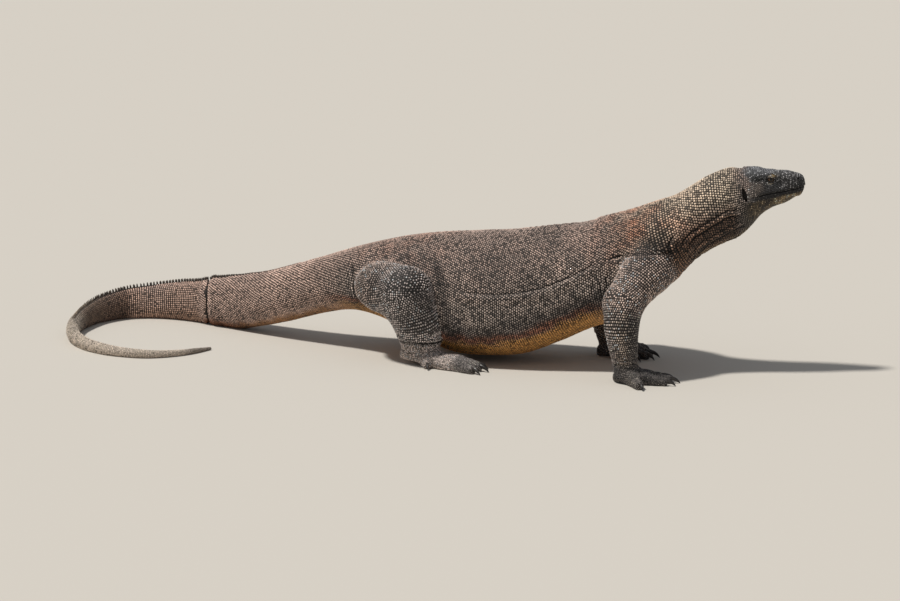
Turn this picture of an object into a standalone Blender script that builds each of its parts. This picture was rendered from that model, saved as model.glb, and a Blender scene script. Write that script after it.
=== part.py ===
"""A life-size, still model of a Komodo dragon standing on all fours.

Metres, +Z up. The animal faces +X, its left side is +Y, and it stands on z = 0.
The body is one tapering form carried by named anatomical sections, from the snout
to the tip of the tail, and it is parted into head, lower jaw, neck, trunk and four
lengths of tail by thin cuts. Each leg is a bent, tapering form in an upper and a
lower length, with a five-toed foot and a claw at the end of each toe.
"""

import math

import bmesh
import bpy
import numpy as np
from mathutils import Matrix, Vector

for old in list(bpy.data.objects):
    bpy.data.objects.remove(old, do_unlink=True)

# ---------------------------------------------------------------- sizes (metres)
GAP = 0.0003                 # clearance between touching pieces
MID_X, MID_Y = -0.1614, -0.0241  # middle of the whole animal, set on the origin
AROUND = 22                  # facets round the body
AROUND_LIMB = 12             # facets round a leg
AROUND_TOE = 6
RING_STEP = 0.040            # spacing of the body's rings
RING_STEP_HEAD = 0.018

SNOUT_CAP = 0.0155           # rounded end of the snout beyond its first section
EYE_RADIUS = 0.0084
EYE_OUT, EYE_UP = 0.0245, 0.0232   # eye centre from the middle of its section
EAR_HEIGHT, EAR_WIDTH, EAR_DEPTH = 0.029, 0.0085, 0.010
CLAW_FORE, CLAW_HIND = 0.024, 0.026
CLAW_ROOT = 0.0046           # half height of a claw at its root

# Anatomical sections of the body, from snout to tail tip:
# centre x, y, z; pitch of the section (degrees); half width; height above and
# below the centre; squareness of the upper and lower half (2 is an ellipse).
BODY = [
    ("snout",        0.6005, 0.0425, 0.3755, -4, 0.0215, 0.0238, 0.0228, 2.5, 2.1),
    ("mid_snout",    0.582, 0.0380, 0.3710, -1, 0.0275, 0.0332, 0.0292, 2.6, 2.3),
    ("eye",          0.556, 0.0325, 0.3670, -1, 0.0335, 0.0375, 0.0355, 2.7, 2.4),
    ("temple",       0.531, 0.0275, 0.3600,  3, 0.0410, 0.0500, 0.0440, 2.5, 2.3),
    ("ear",          0.506, 0.0220, 0.3500,  6, 0.0475, 0.0600, 0.0595, 2.3, 2.2),
    ("nape",         0.479, 0.0170, 0.3385,  9, 0.0515, 0.0690, 0.0690, 2.1, 2.1),
    ("upper_neck",   0.453, 0.0120, 0.3265, 13, 0.0545, 0.0705, 0.0680, 2.0, 2.1),
    ("mid_neck",     0.422, 0.0080, 0.3075, 17, 0.0590, 0.0695, 0.0640, 2.0, 2.1),
    ("neck_base",    0.390, 0.0040, 0.2850, 19, 0.0690, 0.0705, 0.0630, 2.0, 2.1),
    ("chest_front",  0.359, 0.0000, 0.2600, 19, 0.0830, 0.0830, 0.0680, 2.0, 2.2),
    ("shoulder",     0.320, 0.0000, 0.2300, 15, 0.0960, 0.0975, 0.0765, 2.0, 2.2),
    ("axilla",       0.266, 0.0000, 0.1900, 10, 0.1040, 0.1180, 0.0850, 2.0, 2.1),
    ("fore_chest",   0.198, 0.0000, 0.1620,  4, 0.1120, 0.1270, 0.0840, 2.0, 2.0),
    ("ribs",         0.127, 0.0000, 0.1310,  0, 0.1260, 0.1440, 0.0890, 2.0, 2.0),
    ("mid_trunk",    0.059, 0.0000, 0.1100,  0, 0.1370, 0.1560, 0.0940, 2.0, 2.0),
    ("belly",       -0.011, 0.0000, 0.1010,  0, 0.1400, 0.1585, 0.0930, 2.0, 2.0),
    ("flank",       -0.074, 0.0000, 0.1030,  0, 0.1350, 0.1510, 0.0940, 2.0, 2.0),
    ("groin",       -0.136, 0.0000, 0.1170,  0, 0.1170, 0.1310, 0.0920, 2.0, 2.0),
    ("pelvis",      -0.204, 0.0030, 0.1370,  0, 0.0980, 0.0990, 0.0830, 2.0, 2.0),
    ("hip",         -0.260, 0.0080, 0.1440,  0, 0.0830, 0.0785, 0.0720, 2.0, 2.0),
    ("vent",        -0.321, 0.0200, 0.1400,  0, 0.0680, 0.0640, 0.0640, 2.0, 2.0),
    ("tail_root",   -0.392, 0.0400, 0.1200,  0, 0.0580, 0.0590, 0.0590, 2.0, 2.0),
    ("tail_1",      -0.456, 0.0620, 0.0990,  0, 0.0510, 0.0580, 0.0580, 2.0, 2.0),
    ("tail_2",      -0.536, 0.0950, 0.0740,  0, 0.0450, 0.0565, 0.0565, 2.0, 2.0),
    ("tail_3",      -0.617, 0.1300, 0.0560,  0, 0.0390, 0.0560, 0.0565, 2.1, 2.0),
    ("fold_front",  -0.690, 0.1590, 0.0475,  0, 0.0340, 0.0475, 0.0485, 2.2, 2.0),
    ("fold_back",   -0.712, 0.1670, 0.0450,  0, 0.0290, 0.0440, 0.0455, 2.3, 2.0),
    ("tail_4",      -0.780, 0.1840, 0.0380,  0, 0.0250, 0.0400, 0.0390, 2.4, 2.0),
    ("tail_5",      -0.842, 0.1800, 0.0335,  0, 0.0225, 0.0350, 0.0345, 2.4, 2.0),
    ("bend_in",     -0.893, 0.1500, 0.0300,  0, 0.0205, 0.0310, 0.0310, 2.4, 2.0),
    ("bend_1",      -0.920, 0.0920, 0.0260,  0, 0.0180, 0.0260, 0.0270, 2.3, 2.0),
    ("bend_2",      -0.923, 0.0180, 0.0220,  0, 0.0158, 0.0215, 0.0228, 2.2, 2.0),
    ("bend_3",      -0.907, -0.0650, 0.0180, 0, 0.0140, 0.0175, 0.0188, 2.1, 2.0),
    ("bend_out",    -0.864, -0.1510, 0.0150, 0, 0.0126, 0.0142, 0.0157, 2.0, 2.0),
    ("tail_6",      -0.802, -0.2130, 0.0125, 0, 0.0114, 0.0115, 0.0132, 2.0, 2.0),
    ("tail_7",      -0.730, -0.2450, 0.0105, 0, 0.0102, 0.0098, 0.0112, 2.0, 2.0),
    ("tail_8",      -0.664, -0.2440, 0.0088, 0, 0.0088, 0.0082, 0.0095, 2.0, 2.0),
    ("tail_9",      -0.613, -0.2010, 0.0068, 0, 0.0068, 0.0062, 0.0074, 2.0, 2.0),
    ("tail_10",     -0.589, -0.1500, 0.0048, 0, 0.0050, 0.0044, 0.0053, 2.0, 2.0),
    ("tail_tip",    -0.580, -0.1200, 0.0034, 0, 0.0034, 0.0030, 0.0037, 2.0, 2.0),
]
STATION = {row[0]: i for i, row in enumerate(BODY)}

# A leg's sections, from inside the body outwards: centre; direction of the limb's
# upper (dorsal) side; reach to the dorsal side, to the under side, and half width.
ARM_RIGHT = [
    ("root",     (0.330, -0.020, 0.222), (0.5, 0, 1.0), 0.046, 0.046, 0.052),
    ("shoulder", (0.338, -0.078, 0.214), (0.5, 0, 1.0), 0.044, 0.048, 0.052),
    ("humerus",  (0.328, -0.122, 0.192), (0.8, -.2, .9), 0.041, 0.045, 0.045),
    ("elbow",    (0.311, -0.158, 0.156), (1.0, -.2, .5), 0.038, 0.041, 0.037),
    ("forearm",  (0.311, -0.172, 0.112), (1.0, -.1, 0.), 0.035, 0.035, 0.031),
    ("low_arm",  (0.3135, -0.170, 0.076), (1.0, 0.0, 0.), 0.030, 0.030, 0.027),
    ("wrist",    (0.316, -0.165, 0.044), (1.0, 0.0, .1), 0.0255, 0.0255, 0.0255),
    ("in_foot",  (0.320, -0.163, 0.016), (1.0, 0.0, .1), 0.0230, 0.0230, 0.0220),
]
ARM_LEFT = [
    ("root",     (0.318, 0.020, 0.222), (0.2, 0, 1.0), 0.046, 0.046, 0.052),
    ("shoulder", (0.300, 0.078, 0.212), (0.2, 0, 1.0), 0.044, 0.048, 0.050),
    ("humerus",  (0.246, 0.126, 0.194), (0.4, .3, .9), 0.041, 0.044, 0.043),
    ("elbow",    (0.190, 0.157, 0.160), (0.8, .3, .7), 0.039, 0.040, 0.037),
    ("forearm",  (0.166, 0.152, 0.114), (1.0, .2, .2), 0.035, 0.035, 0.031),
    ("low_arm",  (0.176, 0.132, 0.076), (1.0, .1, .1), 0.030, 0.030, 0.027),
    ("wrist",    (0.190, 0.116, 0.044), (1.0, 0.0, .2), 0.0255, 0.0255, 0.0255),
    ("in_foot",  (0.202, 0.108, 0.016), (1.0, 0.0, .2), 0.0230, 0.0230, 0.0220),
]
LEG_RIGHT = [
    ("root",     (-0.222, -0.005, 0.138), (0.0, 0, 1.0), 0.050, 0.046, 0.058),
    ("hip",      (-0.222, -0.066, 0.144), (0.0, 0, 1.0), 0.051, 0.049, 0.060),
    ("thigh",    (-0.196, -0.115, 0.148), (0.1, -.1, 1.), 0.053, 0.052, 0.053),
    ("knee",     (-0.148, -0.143, 0.145), (.75, -.4, .7), 0.053, 0.050, 0.046),
    ("shin",     (-0.132, -0.137, 0.094), (1.0, -.3, .1), 0.050, 0.051, 0.039),
    ("calf",     (-0.127, -0.125, 0.062), (1.0, -.2, .0), 0.046, 0.046, 0.036),
    ("ankle",    (-0.123, -0.117, 0.040), (1.0, -.2, .1), 0.042, 0.042, 0.033),
    ("in_foot",  (-0.119, -0.114, 0.022), (1.0, -.2, .1), 0.032, 0.034, 0.026),
]
SPLIT_AT = 3               # elbow or knee: where the upper limb meets the lower
WRIST_HEIGHT, ANKLE_HEIGHT = 0.040, 0.044   # level cut between leg and foot

# A foot: heel, ball (middle of the toe roots), half widths and heights there, and
# for each toe its root's place across the foot (-1 inner .. 1 outer), the heading of
# the toe (degrees from +X, outward positive), its length and its thickness.
FOOT_FORE = dict(
    heel=(0.314, 0.160), ball=(0.347, 0.172), heel_half=0.021, ball_half=0.027,
    height=0.034, lift=0.0, claw=CLAW_FORE,
    toes=[(-0.80, -66, 0.046, 0.0088), (-0.45, -42, 0.062, 0.0094), (-0.05, -22, 0.070, 0.0096),
          (0.35, -6, 0.068, 0.0098), (0.60, 52, 0.056, 0.0108)])
FOOT_HIND = dict(
    heel=(-0.142, 0.118), ball=(-0.052, 0.143), heel_half=0.024, ball_half=0.027,
    height=0.034, lift=0.009, claw=CLAW_HIND,
    toes=[(-0.85, -20, 0.040, 0.0088), (-0.50, -4, 0.060, 0.0096), (-0.05, 10, 0.076, 0.0102),
          (0.45, 24, 0.080, 0.0104), (1.02, 64, 0.030, 0.0092)])
LEFT_FORE_SHIFT = (-0.118, -0.058)    # the left forefoot stands further back
LEFT_HIND_SHIFT = (-0.015, 0.000)


# ---------------------------------------------------------------- curves
def smooth(knots, rows, at):
    """Cubic curve through rows at knots, with slopes from the neighbouring rows."""
    knots, rows, at = (np.asarray(v, float) for v in (knots, rows, at))
    step = np.diff(knots)[:, None]
    rise = np.diff(rows, axis=0) / step
    slope = np.empty_like(rows)
    slope[0], slope[-1] = rise[0], rise[-1]
    slope[1:-1] = (rise[:-1] * step[1:] + rise[1:] * step[:-1]) / (step[:-1] + step[1:])
    i = np.clip(np.searchsorted(knots, at, side="right") - 1, 0, len(knots) - 2)
    h = step[i]
    t = ((at - knots[i])[:, None]) / h
    return ((2 * t**3 - 3 * t**2 + 1) * rows[i] + (t**3 - 2 * t**2 + t) * h * slope[i]
            + (3 * t**2 - 2 * t**3) * rows[i + 1] + (t**3 - t**2) * h * slope[i + 1])


def unit(v):
    return v / np.linalg.norm(v, axis=-1, keepdims=True)


BODY_ROWS = np.array([row[1:] for row in BODY], float)
BODY_KNOTS = np.concatenate([[0], np.cumsum(np.linalg.norm(np.diff(BODY_ROWS[:, :3], axis=0), axis=1))])


def body_frame(s):
    """Centre, forward, left and up directions and the section's sizes at lengths s."""
    s = np.atleast_1d(np.asarray(s, float))
    row = smooth(BODY_KNOTS, BODY_ROWS, s)
    ahead = smooth(BODY_KNOTS, BODY_ROWS, np.clip(s - 0.002, 0, BODY_KNOTS[-1]))
    behind = smooth(BODY_KNOTS, BODY_ROWS, np.clip(s + 0.002, 0, BODY_KNOTS[-1]))
    heading = ahead[:, :3] - behind[:, :3]
    heading[:, 2] = 0
    heading = unit(heading)
    pitch = np.radians(row[:, 3:4])
    forward = heading * np.cos(pitch) + np.array([0, 0, 1.0]) * np.sin(pitch)
    left = unit(np.cross([0, 0, 1.0], heading))
    return row[:, :3], forward, left, np.cross(forward, left), row[:, 4:]


def section(size, count, grow=0.0):
    """Offsets (left, up) of one closed section; count points round a squared oval."""
    angle = 2 * np.pi * (np.arange(count) + 0.5) / count
    c, s = np.cos(angle), np.sin(angle)
    power = np.where(s >= 0, size[3], size[4])
    reach = np.where(s >= 0, size[1], size[2]) + grow
    return np.sign(c) * np.abs(c) ** (2 / power) * (size[0] + grow), np.sign(s) * np.abs(s) ** (2 / power) * reach


def body_rings(lengths, count=AROUND, grow=0.0):
    centre, forward, left, up, size = body_frame(lengths)
    rings = []
    for k in range(len(centre)):
        out, high = section(size[k], count, grow)
        rings.append(centre[k] + out[:, None] * left[k] + high[:, None] * up[k])
    return rings


def snout_rings(count=AROUND, grow=0.0):
    """The rounded tip ahead of the first section, from its point backwards."""
    centre, forward, left, up, size = (v[0] for v in body_frame([0.0]))
    out, high = section(size, count, grow)
    rings = []
    for k in range(1, 5):
        turn = math.radians(20 * k - 4)
        scale = math.sin(turn) ** 0.8
        at = centre + forward * (SNOUT_CAP + grow) * math.cos(turn)
        rings.append(at + scale * (out[:, None] * left + high[:, None] * up))
    return rings


# ---------------------------------------------------------------- meshes
def material(name, colour, roughness):
    made = bpy.data.materials.new(name)
    made.use_nodes = True
    shader = made.node_tree.nodes["Principled BSDF"]
    shader.inputs["Base Color"].default_value = (*colour, 1.0)
    shader.inputs["Roughness"].default_value = roughness
    shader.inputs["Metallic"].default_value = 0.0
    return made


def add(name, mesh_build, colour=(0.2, 0.17, 0.14), roughness=0.7, helper=False):
    """A new object from a bmesh, shifted so that the animal's middle is the origin."""
    bmesh.ops.triangulate(mesh_build, faces=[f for f in mesh_build.faces if len(f.verts) == 4 and helper])
    bmesh.ops.recalc_face_normals(mesh_build, faces=mesh_build.faces)
    bmesh.ops.translate(mesh_build, verts=mesh_build.verts, vec=(-MID_X, -MID_Y, 0))
    mesh = bpy.data.meshes.new(name)
    mesh_build.to_mesh(mesh)
    mesh_build.free()
    mesh.shade_smooth()
    mesh.set_sharp_from_angle(angle=math.radians(45))
    made = bpy.data.objects.new(name, mesh)
    bpy.context.scene.collection.objects.link(made)
    if helper:
        made.hide_render = True
        made.display_type = "WIRE"
    else:
        mesh.materials.append(material(name, colour, roughness))
    return made


def loft(rings, start_point=None, end_point=None):
    """A closed skin through rings of equal count, with flat or pointed ends."""
    made = bmesh.new()
    rows = [[made.verts.new(p) for p in ring] for ring in rings]
    count = len(rows[0])
    for a, b in zip(rows, rows[1:]):
        for i in range(count):
            j = (i + 1) % count
            made.faces.new((a[i], a[j], b[j], b[i]))
    for row, point in ((rows[0], start_point), (rows[-1], end_point)):
        if point is None:
            made.faces.new(row)
        else:
            tip = made.verts.new(point)
            for i in range(count):
                made.faces.new((row[i], row[(i + 1) % count], tip))
    return made


def spaced(start, end, step):
    return np.linspace(start, end, max(2, int(round((end - start) / step)) + 1))


def boolean(target, other, operation):
    made = target.modifiers.new(other.name, "BOOLEAN")
    made.operation = operation
    made.solver = "EXACT"
    if isinstance(other, bpy.types.Collection):
        made.operand_type = "COLLECTION"
        made.collection = other
    else:
        made.object = other


def box(name, low, high):
    made = bmesh.new()
    bmesh.ops.create_cube(made, size=1.0)
    low, high = Vector(low), Vector(high)
    bmesh.ops.scale(made, vec=high - low, verts=made.verts)
    bmesh.ops.translate(made, vec=(low + high) / 2, verts=made.verts)
    return add(name, made, helper=True)


def ball(name, centre, axes, radii, helper, segments=16, colour=(0, 0, 0), roughness=0.2):
    """An ellipsoid with its own three axes."""
    made = bmesh.new()
    bmesh.ops.create_uvsphere(made, u_segments=segments, v_segments=segments * 5 // 8, radius=1.0)
    turn = Matrix([[float(axes[c][r]) * radii[c] for c in range(3)] for r in range(3)])
    bmesh.ops.transform(made, matrix=Matrix.Translation(Vector(centre)) @ turn.to_4x4(), verts=made.verts)
    return add(name, made, colour, roughness, helper)


floor_cut = box("floor_cut", (-1.2, -0.6, -0.2), (0.9, 0.5, 0.0))

# ---------------------------------------------------------------- body lengths
DARK, NECK, TRUNK, TAIL, LEG = (0.035, 0.034, 0.036), (0.16, 0.115, 0.075), (0.105, 0.082, 0.066), (0.13, 0.105, 0.085), (0.06, 0.06, 0.062)


def at_station(name, further=0.0):
    return BODY_KNOTS[STATION[name]] + further


NECK_CUT = at_station("ear", 0.020)
TRUNK_CUT = at_station("neck_base", 0.006)
TAIL_CUT = at_station("vent", 0.030)
FOLD_CUT = at_station("fold_front", 0.011)
BEND_START = at_station("tail_5", 0.012)
BEND_END = at_station("bend_out", 0.010)
TAIL_END = BODY_KNOTS[-1]


def head_form():
    rings = snout_rings() + body_rings(spaced(0.0, NECK_CUT - GAP, RING_STEP_HEAD))
    centre, forward = (v[0] for v in body_frame([0.0])[:2])
    return loft(rings, start_point=centre + forward * SNOUT_CAP)


# The mouth runs back under the eye, and the jaw's hind edge falls to the throat.
MOUTH = [(0.660, 0.3850), (0.6146, 0.3742), (0.5992, 0.3697), (0.5807, 0.3657), (0.5648, 0.3630),
         (0.5486, 0.3600), (0.5330, 0.3552)]


def jaw_prism(name, lower):
    line = [(x - lower * 0.3, z - lower) for x, z in MOUTH]
    line += [(0.5215 + lower * 0.9, 0.3300), (0.5190 + lower, 0.2600), (0.660, 0.2600)]
    made = bmesh.new()
    face = made.faces.new([made.verts.new((x, -0.15, z)) for x, z in line])
    grown = bmesh.ops.extrude_face_region(made, geom=[face])
    bmesh.ops.translate(made, vec=(0, 0.35, 0), verts=[v for v in grown["geom"] if isinstance(v, bmesh.types.BMVert)])
    return add(name, made, helper=True)


head = add("head", head_form(), DARK, 0.55)
jaw = add("lower_jaw", head_form(), (0.16, 0.12, 0.075), 0.6)
boolean(head, jaw_prism("mouth_cut", 0.0), "DIFFERENCE")
boolean(jaw, jaw_prism("jaw_form", GAP), "INTERSECT")

centre, forward, left, up, size = (v[0] for v in body_frame([at_station("eye", 0.0040)]))
ear_c, ear_f, ear_l, ear_u, ear_size = (v[0] for v in body_frame([at_station("ear", 0.0005)]))
ear_f, ear_u = (ear_f + 0.2 * ear_u) / math.sqrt(1.04), (ear_u - 0.2 * ear_f) / math.sqrt(1.04)
for side, name in ((-1, "right"), (1, "left")):
    eye_at = centre + left * side * EYE_OUT + up * EYE_UP
    axes = (forward, left, up)
    ball("eye_" + name, eye_at, axes, (EYE_RADIUS,) * 3, False, 12, (0.02, 0.012, 0.006), 0.08)
    boolean(head, ball("eye_socket_" + name, eye_at, axes, (EYE_RADIUS + GAP,) * 3, True, 12), "DIFFERENCE")
    ear_at = ear_c + ear_l * side * (ear_size[0] * 0.985) + ear_u * 0.009
    boolean(head, ball("ear_opening_" + name, ear_at, (ear_f, ear_l, ear_u),
                       (EAR_WIDTH / 2, EAR_DEPTH, EAR_HEIGHT / 2), True, 10), "DIFFERENCE")

add("neck", loft(body_rings(spaced(NECK_CUT, TRUNK_CUT - GAP, 0.02))), NECK, 0.65)
add("trunk", loft(body_rings(spaced(TRUNK_CUT, TAIL_CUT - GAP, RING_STEP))), TRUNK, 0.65)
lengths = [("tail_base", TAIL_CUT, FOLD_CUT), ("tail_middle", FOLD_CUT, BEND_START), ("tail_bend", BEND_START, BEND_END)]
for name, start, end in lengths:
    piece = add(name, loft(body_rings(spaced(start, end - GAP, RING_STEP * 0.75), 18)), TAIL, 0.65)
    boolean(piece, floor_cut, "DIFFERENCE")
tail_rings = body_rings(spaced(BEND_END, TAIL_END, RING_STEP * 0.7), 12)
end_c, end_f = (v[0] for v in body_frame([TAIL_END])[:2])
piece = add("tail_end", loft(tail_rings, end_point=end_c - end_f * 0.004), TAIL, 0.65)
boolean(piece, floor_cut, "DIFFERENCE")

# The body as one closed form, a hair larger, parts the limbs from the trunk.
core_lengths = [*spaced(NECK_CUT, TRUNK_CUT - GAP, 0.02), *spaced(TRUNK_CUT, TAIL_CUT - GAP, RING_STEP), *spaced(TAIL_CUT + 0.02, FOLD_CUT - 0.1, 0.03)]
core = add("body_core", loft(body_rings(core_lengths, AROUND, GAP * 1.5)), helper=True)


# ---------------------------------------------------------------- legs
def mirrored(rows, shift=(0, 0)):
    return [(n, (c[0] + shift[0], -c[1] + shift[1], c[2]), (d[0], -d[1], d[2]), a, b, w) for n, c, d, a, b, w in rows]


def limb_rings(rows, places, count=AROUND_LIMB):
    """Rings along a limb at places counted in sections, each square to its path."""
    data = np.array([[*c, *d, a, b, w] for n, c, d, a, b, w in rows], float)
    knots = np.arange(len(rows), dtype=float)
    at = smooth(knots, data, places)
    low = smooth(knots, data, np.clip(np.asarray(places) - 0.05, 0, knots[-1]))
    high = smooth(knots, data, np.clip(np.asarray(places) + 0.05, 0, knots[-1]))
    along = unit(high[:, :3] - low[:, :3])
    side = unit(np.cross(at[:, 3:6], along))
    dorsal = np.cross(along, side)
    angle = 2 * np.pi * (np.arange(count) + 0.5) / count
    rings = []
    for k in range(len(at)):
        reach = np.where(np.sin(angle) >= 0, at[k, 6], at[k, 7])
        rings.append(at[k, :3] + (np.cos(angle) * at[k, 8])[:, None] * side[k] + (np.sin(angle) * reach)[:, None] * dorsal[k])
    return rings, along


def rounded_end(ring, along, reach):
    """Three shrinking rings past a ring, for a round joint."""
    middle = ring.mean(axis=0)
    return [middle + (ring - middle) * math.cos(turn) + along * reach * math.sin(turn) for turn in (0.5, 0.95, 1.3)]


def beyond(name, point, normal, clear):
    """A large block on the far side of a plane, standing clear of it by a distance."""
    turn = Vector(normal).to_track_quat("Z", "Y").to_matrix().to_4x4()
    made = bmesh.new()
    bmesh.ops.create_cube(made, size=0.4)
    bmesh.ops.translate(made, vec=(0, 0, 0.2 + clear), verts=made.verts)
    bmesh.ops.transform(made, matrix=Matrix.Translation(Vector(point)) @ turn, verts=made.verts)
    return add(name, made, helper=True)


def limb(upper_name, lower_name, rows, level, steps=2):
    """The upper and lower lengths of a leg, parted by the plane that halves its bend."""
    joint = rows[SPLIT_AT]
    upper_rings, upper_along = limb_rings(rows[:SPLIT_AT + 1], np.linspace(0, SPLIT_AT, SPLIT_AT * steps + 1))
    last = len(rows) - 1 - SPLIT_AT
    lower_rings, lower_along = limb_rings(rows[SPLIT_AT:], np.linspace(0, last, last * steps + 1))
    normal = unit(upper_along[-1] + lower_along[0])
    upper = add(upper_name, loft(upper_rings + rounded_end(upper_rings[-1], upper_along[-1], joint[5])), LEG, 0.65)
    boolean(upper, core, "DIFFERENCE")
    boolean(upper, beyond(upper_name + "_end", joint[1], normal, -GAP / 2), "DIFFERENCE")
    start = rounded_end(lower_rings[0], -lower_along[0], joint[5])[::-1]
    lower = add(lower_name, loft(start + lower_rings), LEG, 0.65)
    boolean(lower, beyond(lower_name + "_start", joint[1], -normal, -GAP / 2), "DIFFERENCE")
    middle = np.mean(lower_rings[-1], axis=0)
    boolean(lower, box(lower_name + "_foot_cut", middle - [0.12, 0.12, 0.2], [middle[0] + 0.12, middle[1] + 0.12, level]), "DIFFERENCE")
    boolean(lower, core, "DIFFERENCE")
    return lower_rings[-2 * steps - 1:]


def oval(centre, across, up, half, high, low, count, square=2.0):
    angle = 2 * np.pi * (np.arange(count) + 0.5) / count
    c, s = np.cos(angle), np.sin(angle)
    c, s = np.sign(c) * abs(c) ** (2 / square), np.sign(s) * abs(s) ** (2 / square)
    return centre + (c * half)[:, None] * across + (s * np.where(s >= 0, high, low))[:, None] * up


def toe_path(root, heading, length, thick):
    """Middle line of a toe: it rises over its knuckle and comes down to its tip."""
    ahead = np.array([math.cos(heading), math.sin(heading), 0.0])
    rise = [0.0170, 0.0155, 0.0105, 0.0088]
    return [np.array([root[0], root[1], 0.0]) + ahead * length * t + np.array([0, 0, z])
            for t, z in zip((0.0, 0.40, 0.75, 1.0), rise)], ahead


def foot(prefix, spec, side, shift, ankle, level):
    """A sole, an ankle and five toes joined, cut flat on the floor, and five claws."""
    def place(x, y):
        return np.array([x + shift[0], side * y + shift[1]])

    heel, ball_at = place(*spec["heel"]), place(*spec["ball"])
    ahead = unit(np.append(ball_at - heel, 0.0))
    across = np.cross([0, 0, 1.0], ahead) * side          # towards the outer side
    up = np.array([0, 0, 1.0])
    reach = np.linalg.norm(ball_at - heel)
    sole = []
    for t, half, high in ((-0.55, 0.55, 0.55), (-0.25, 0.9, 0.85), (0.2, 1.0, 1.0), (0.6, 1.0, 0.95), (0.9, 1.0, 0.72), (1.15, 0.90, 0.52)):
        wide = spec["heel_half"] + (spec["ball_half"] - spec["heel_half"]) * min(max(t, 0), 1)
        base = spec["lift"] * max(0.0, 1 - max(t, 0) / 0.75)
        middle = np.array([*heel, 0.0]) + ahead * (t * reach if t > 0 else t * spec["heel_half"] * 1.6)
        tall = spec["height"] * high
        centre = middle + up * (base + tall * 0.42)
        low = tall * 0.42 + (0.004 if t > 0.5 else 0.0005)
        sole.append(oval(centre, across, up, wide * half, tall * 0.58, low, 12, 2.3))
    made = add(prefix, loft(sole), LEG, 0.7)
    group = bpy.data.collections.new(prefix + "_forms")
    bpy.context.scene.collection.children.link(group)

    def into_group(form):
        bpy.context.scene.collection.objects.unlink(form)
        group.objects.link(form)

    into_group(add(prefix + "_ankle", loft(ankle), helper=True))
    claws = []
    for number, (place_across, heading, length, thick) in enumerate(spec["toes"], 1):
        root = ball_at + across[:2] * place_across * spec["ball_half"] * 0.78 - ahead[:2] * (0.012 if abs(place_across) < 1 else 0.056)
        if place_across > 1:
            root = root - across[:2] * 0.012
        turn = -side * math.radians(-heading) if side > 0 else -math.radians(heading)
        points, toward = toe_path(root, turn, length, thick)
        cross = np.cross([0, 0, 1.0], toward)
        rings = []
        for k, (point, fat) in enumerate(zip(points, (1.15, 1.05, 0.92, 0.74))):
            slope = points[min(k + 1, 3)] - points[max(k - 1, 0)]
            slope = unit(slope) if k < 3 else unit(np.array([*toward[:2] * 1.0, -0.25]))
            raised = np.cross(slope, cross)
            rings.append(oval(point, cross, raised, thick * fat, thick * fat * 0.95, max(thick * fat, point[2] + 0.0025), AROUND_TOE))
        into_group(add(f"{prefix}_toe_{number}", loft(rings), helper=True))
        claws.append((number, points[-1], slope, cross, raised, thick))
    boolean(made, group, "UNION")
    boolean(made, floor_cut, "DIFFERENCE")
    boolean(made, box(prefix + "_leg_cut", [*(heel - 0.14), level - GAP], [*(heel + 0.14), level + 0.2]), "DIFFERENCE")
    for number, point, slope, cross, raised, thick in claws:
        size = spec["claw"] * (0.85 if number in (1, 5) else 1.0)
        rings = []
        for t, fat in ((0.0, 1.0), (0.4, 0.80), (0.78, 0.42)):
            bend = t * 0.75
            middle = point + slope * (GAP + size * (t - 0.10 * t * t)) + raised * (0.0018 + size * (0.17 * t - 0.42 * t * t))
            tilt = unit(slope * math.cos(bend) - raised * math.sin(bend))
            rings.append(oval(middle, cross, np.cross(tilt, cross), CLAW_ROOT * 0.62 * fat, CLAW_ROOT * fat, CLAW_ROOT * fat, 6))
        low = min(ring[:, 2].min() for ring in rings)
        tip = point + slope * (GAP + size * 0.93) - raised * (size * 0.24)
        tip[2] = max(tip[2], 0.0006)
        for ring in rings:
            ring[:, 2] = np.maximum(ring[:, 2], 0.0004)
        add(f"{prefix}_claw_{number}", loft(rings, end_point=tip), (0.012, 0.011, 0.011), 0.3)


for name, rows, kind, spec, side, shift in (
    ("right", ARM_RIGHT, "fore", FOOT_FORE, -1, (0, 0)),
    ("left", ARM_LEFT, "fore", FOOT_FORE, 1, LEFT_FORE_SHIFT),
    ("right", LEG_RIGHT, "hind", FOOT_HIND, -1, (0, 0)),
    ("left", mirrored(LEG_RIGHT, LEFT_HIND_SHIFT), "hind", FOOT_HIND, 1, LEFT_HIND_SHIFT),
):
    upper_name, lower_name = ("upper_arm", "forearm") if kind == "fore" else ("thigh", "shank")
    level = WRIST_HEIGHT if kind == "fore" else ANKLE_HEIGHT
    ankle = limb(f"{name}_{upper_name}", f"{name}_{lower_name}", rows, level)
    foot(f"{name}_{kind}foot", spec, side, shift, ankle, level)
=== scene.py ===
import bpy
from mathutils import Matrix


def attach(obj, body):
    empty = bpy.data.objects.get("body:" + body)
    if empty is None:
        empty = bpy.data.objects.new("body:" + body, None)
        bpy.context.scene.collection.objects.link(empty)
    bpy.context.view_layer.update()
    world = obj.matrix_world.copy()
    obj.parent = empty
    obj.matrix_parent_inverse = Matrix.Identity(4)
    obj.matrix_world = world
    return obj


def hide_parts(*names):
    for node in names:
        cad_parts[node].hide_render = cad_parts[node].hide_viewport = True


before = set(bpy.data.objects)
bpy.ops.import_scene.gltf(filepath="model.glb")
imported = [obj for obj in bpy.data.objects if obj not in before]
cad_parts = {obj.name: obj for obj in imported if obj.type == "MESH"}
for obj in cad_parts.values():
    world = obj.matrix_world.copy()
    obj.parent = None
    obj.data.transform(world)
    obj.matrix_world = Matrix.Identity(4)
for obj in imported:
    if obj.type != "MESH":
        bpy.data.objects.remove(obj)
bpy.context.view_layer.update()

import math

import bmesh
import bpy
import numpy as np
from mathutils import Matrix, Vector
from mathutils.bvhtree import BVHTree
from mathutils.kdtree import KDTree

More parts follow.
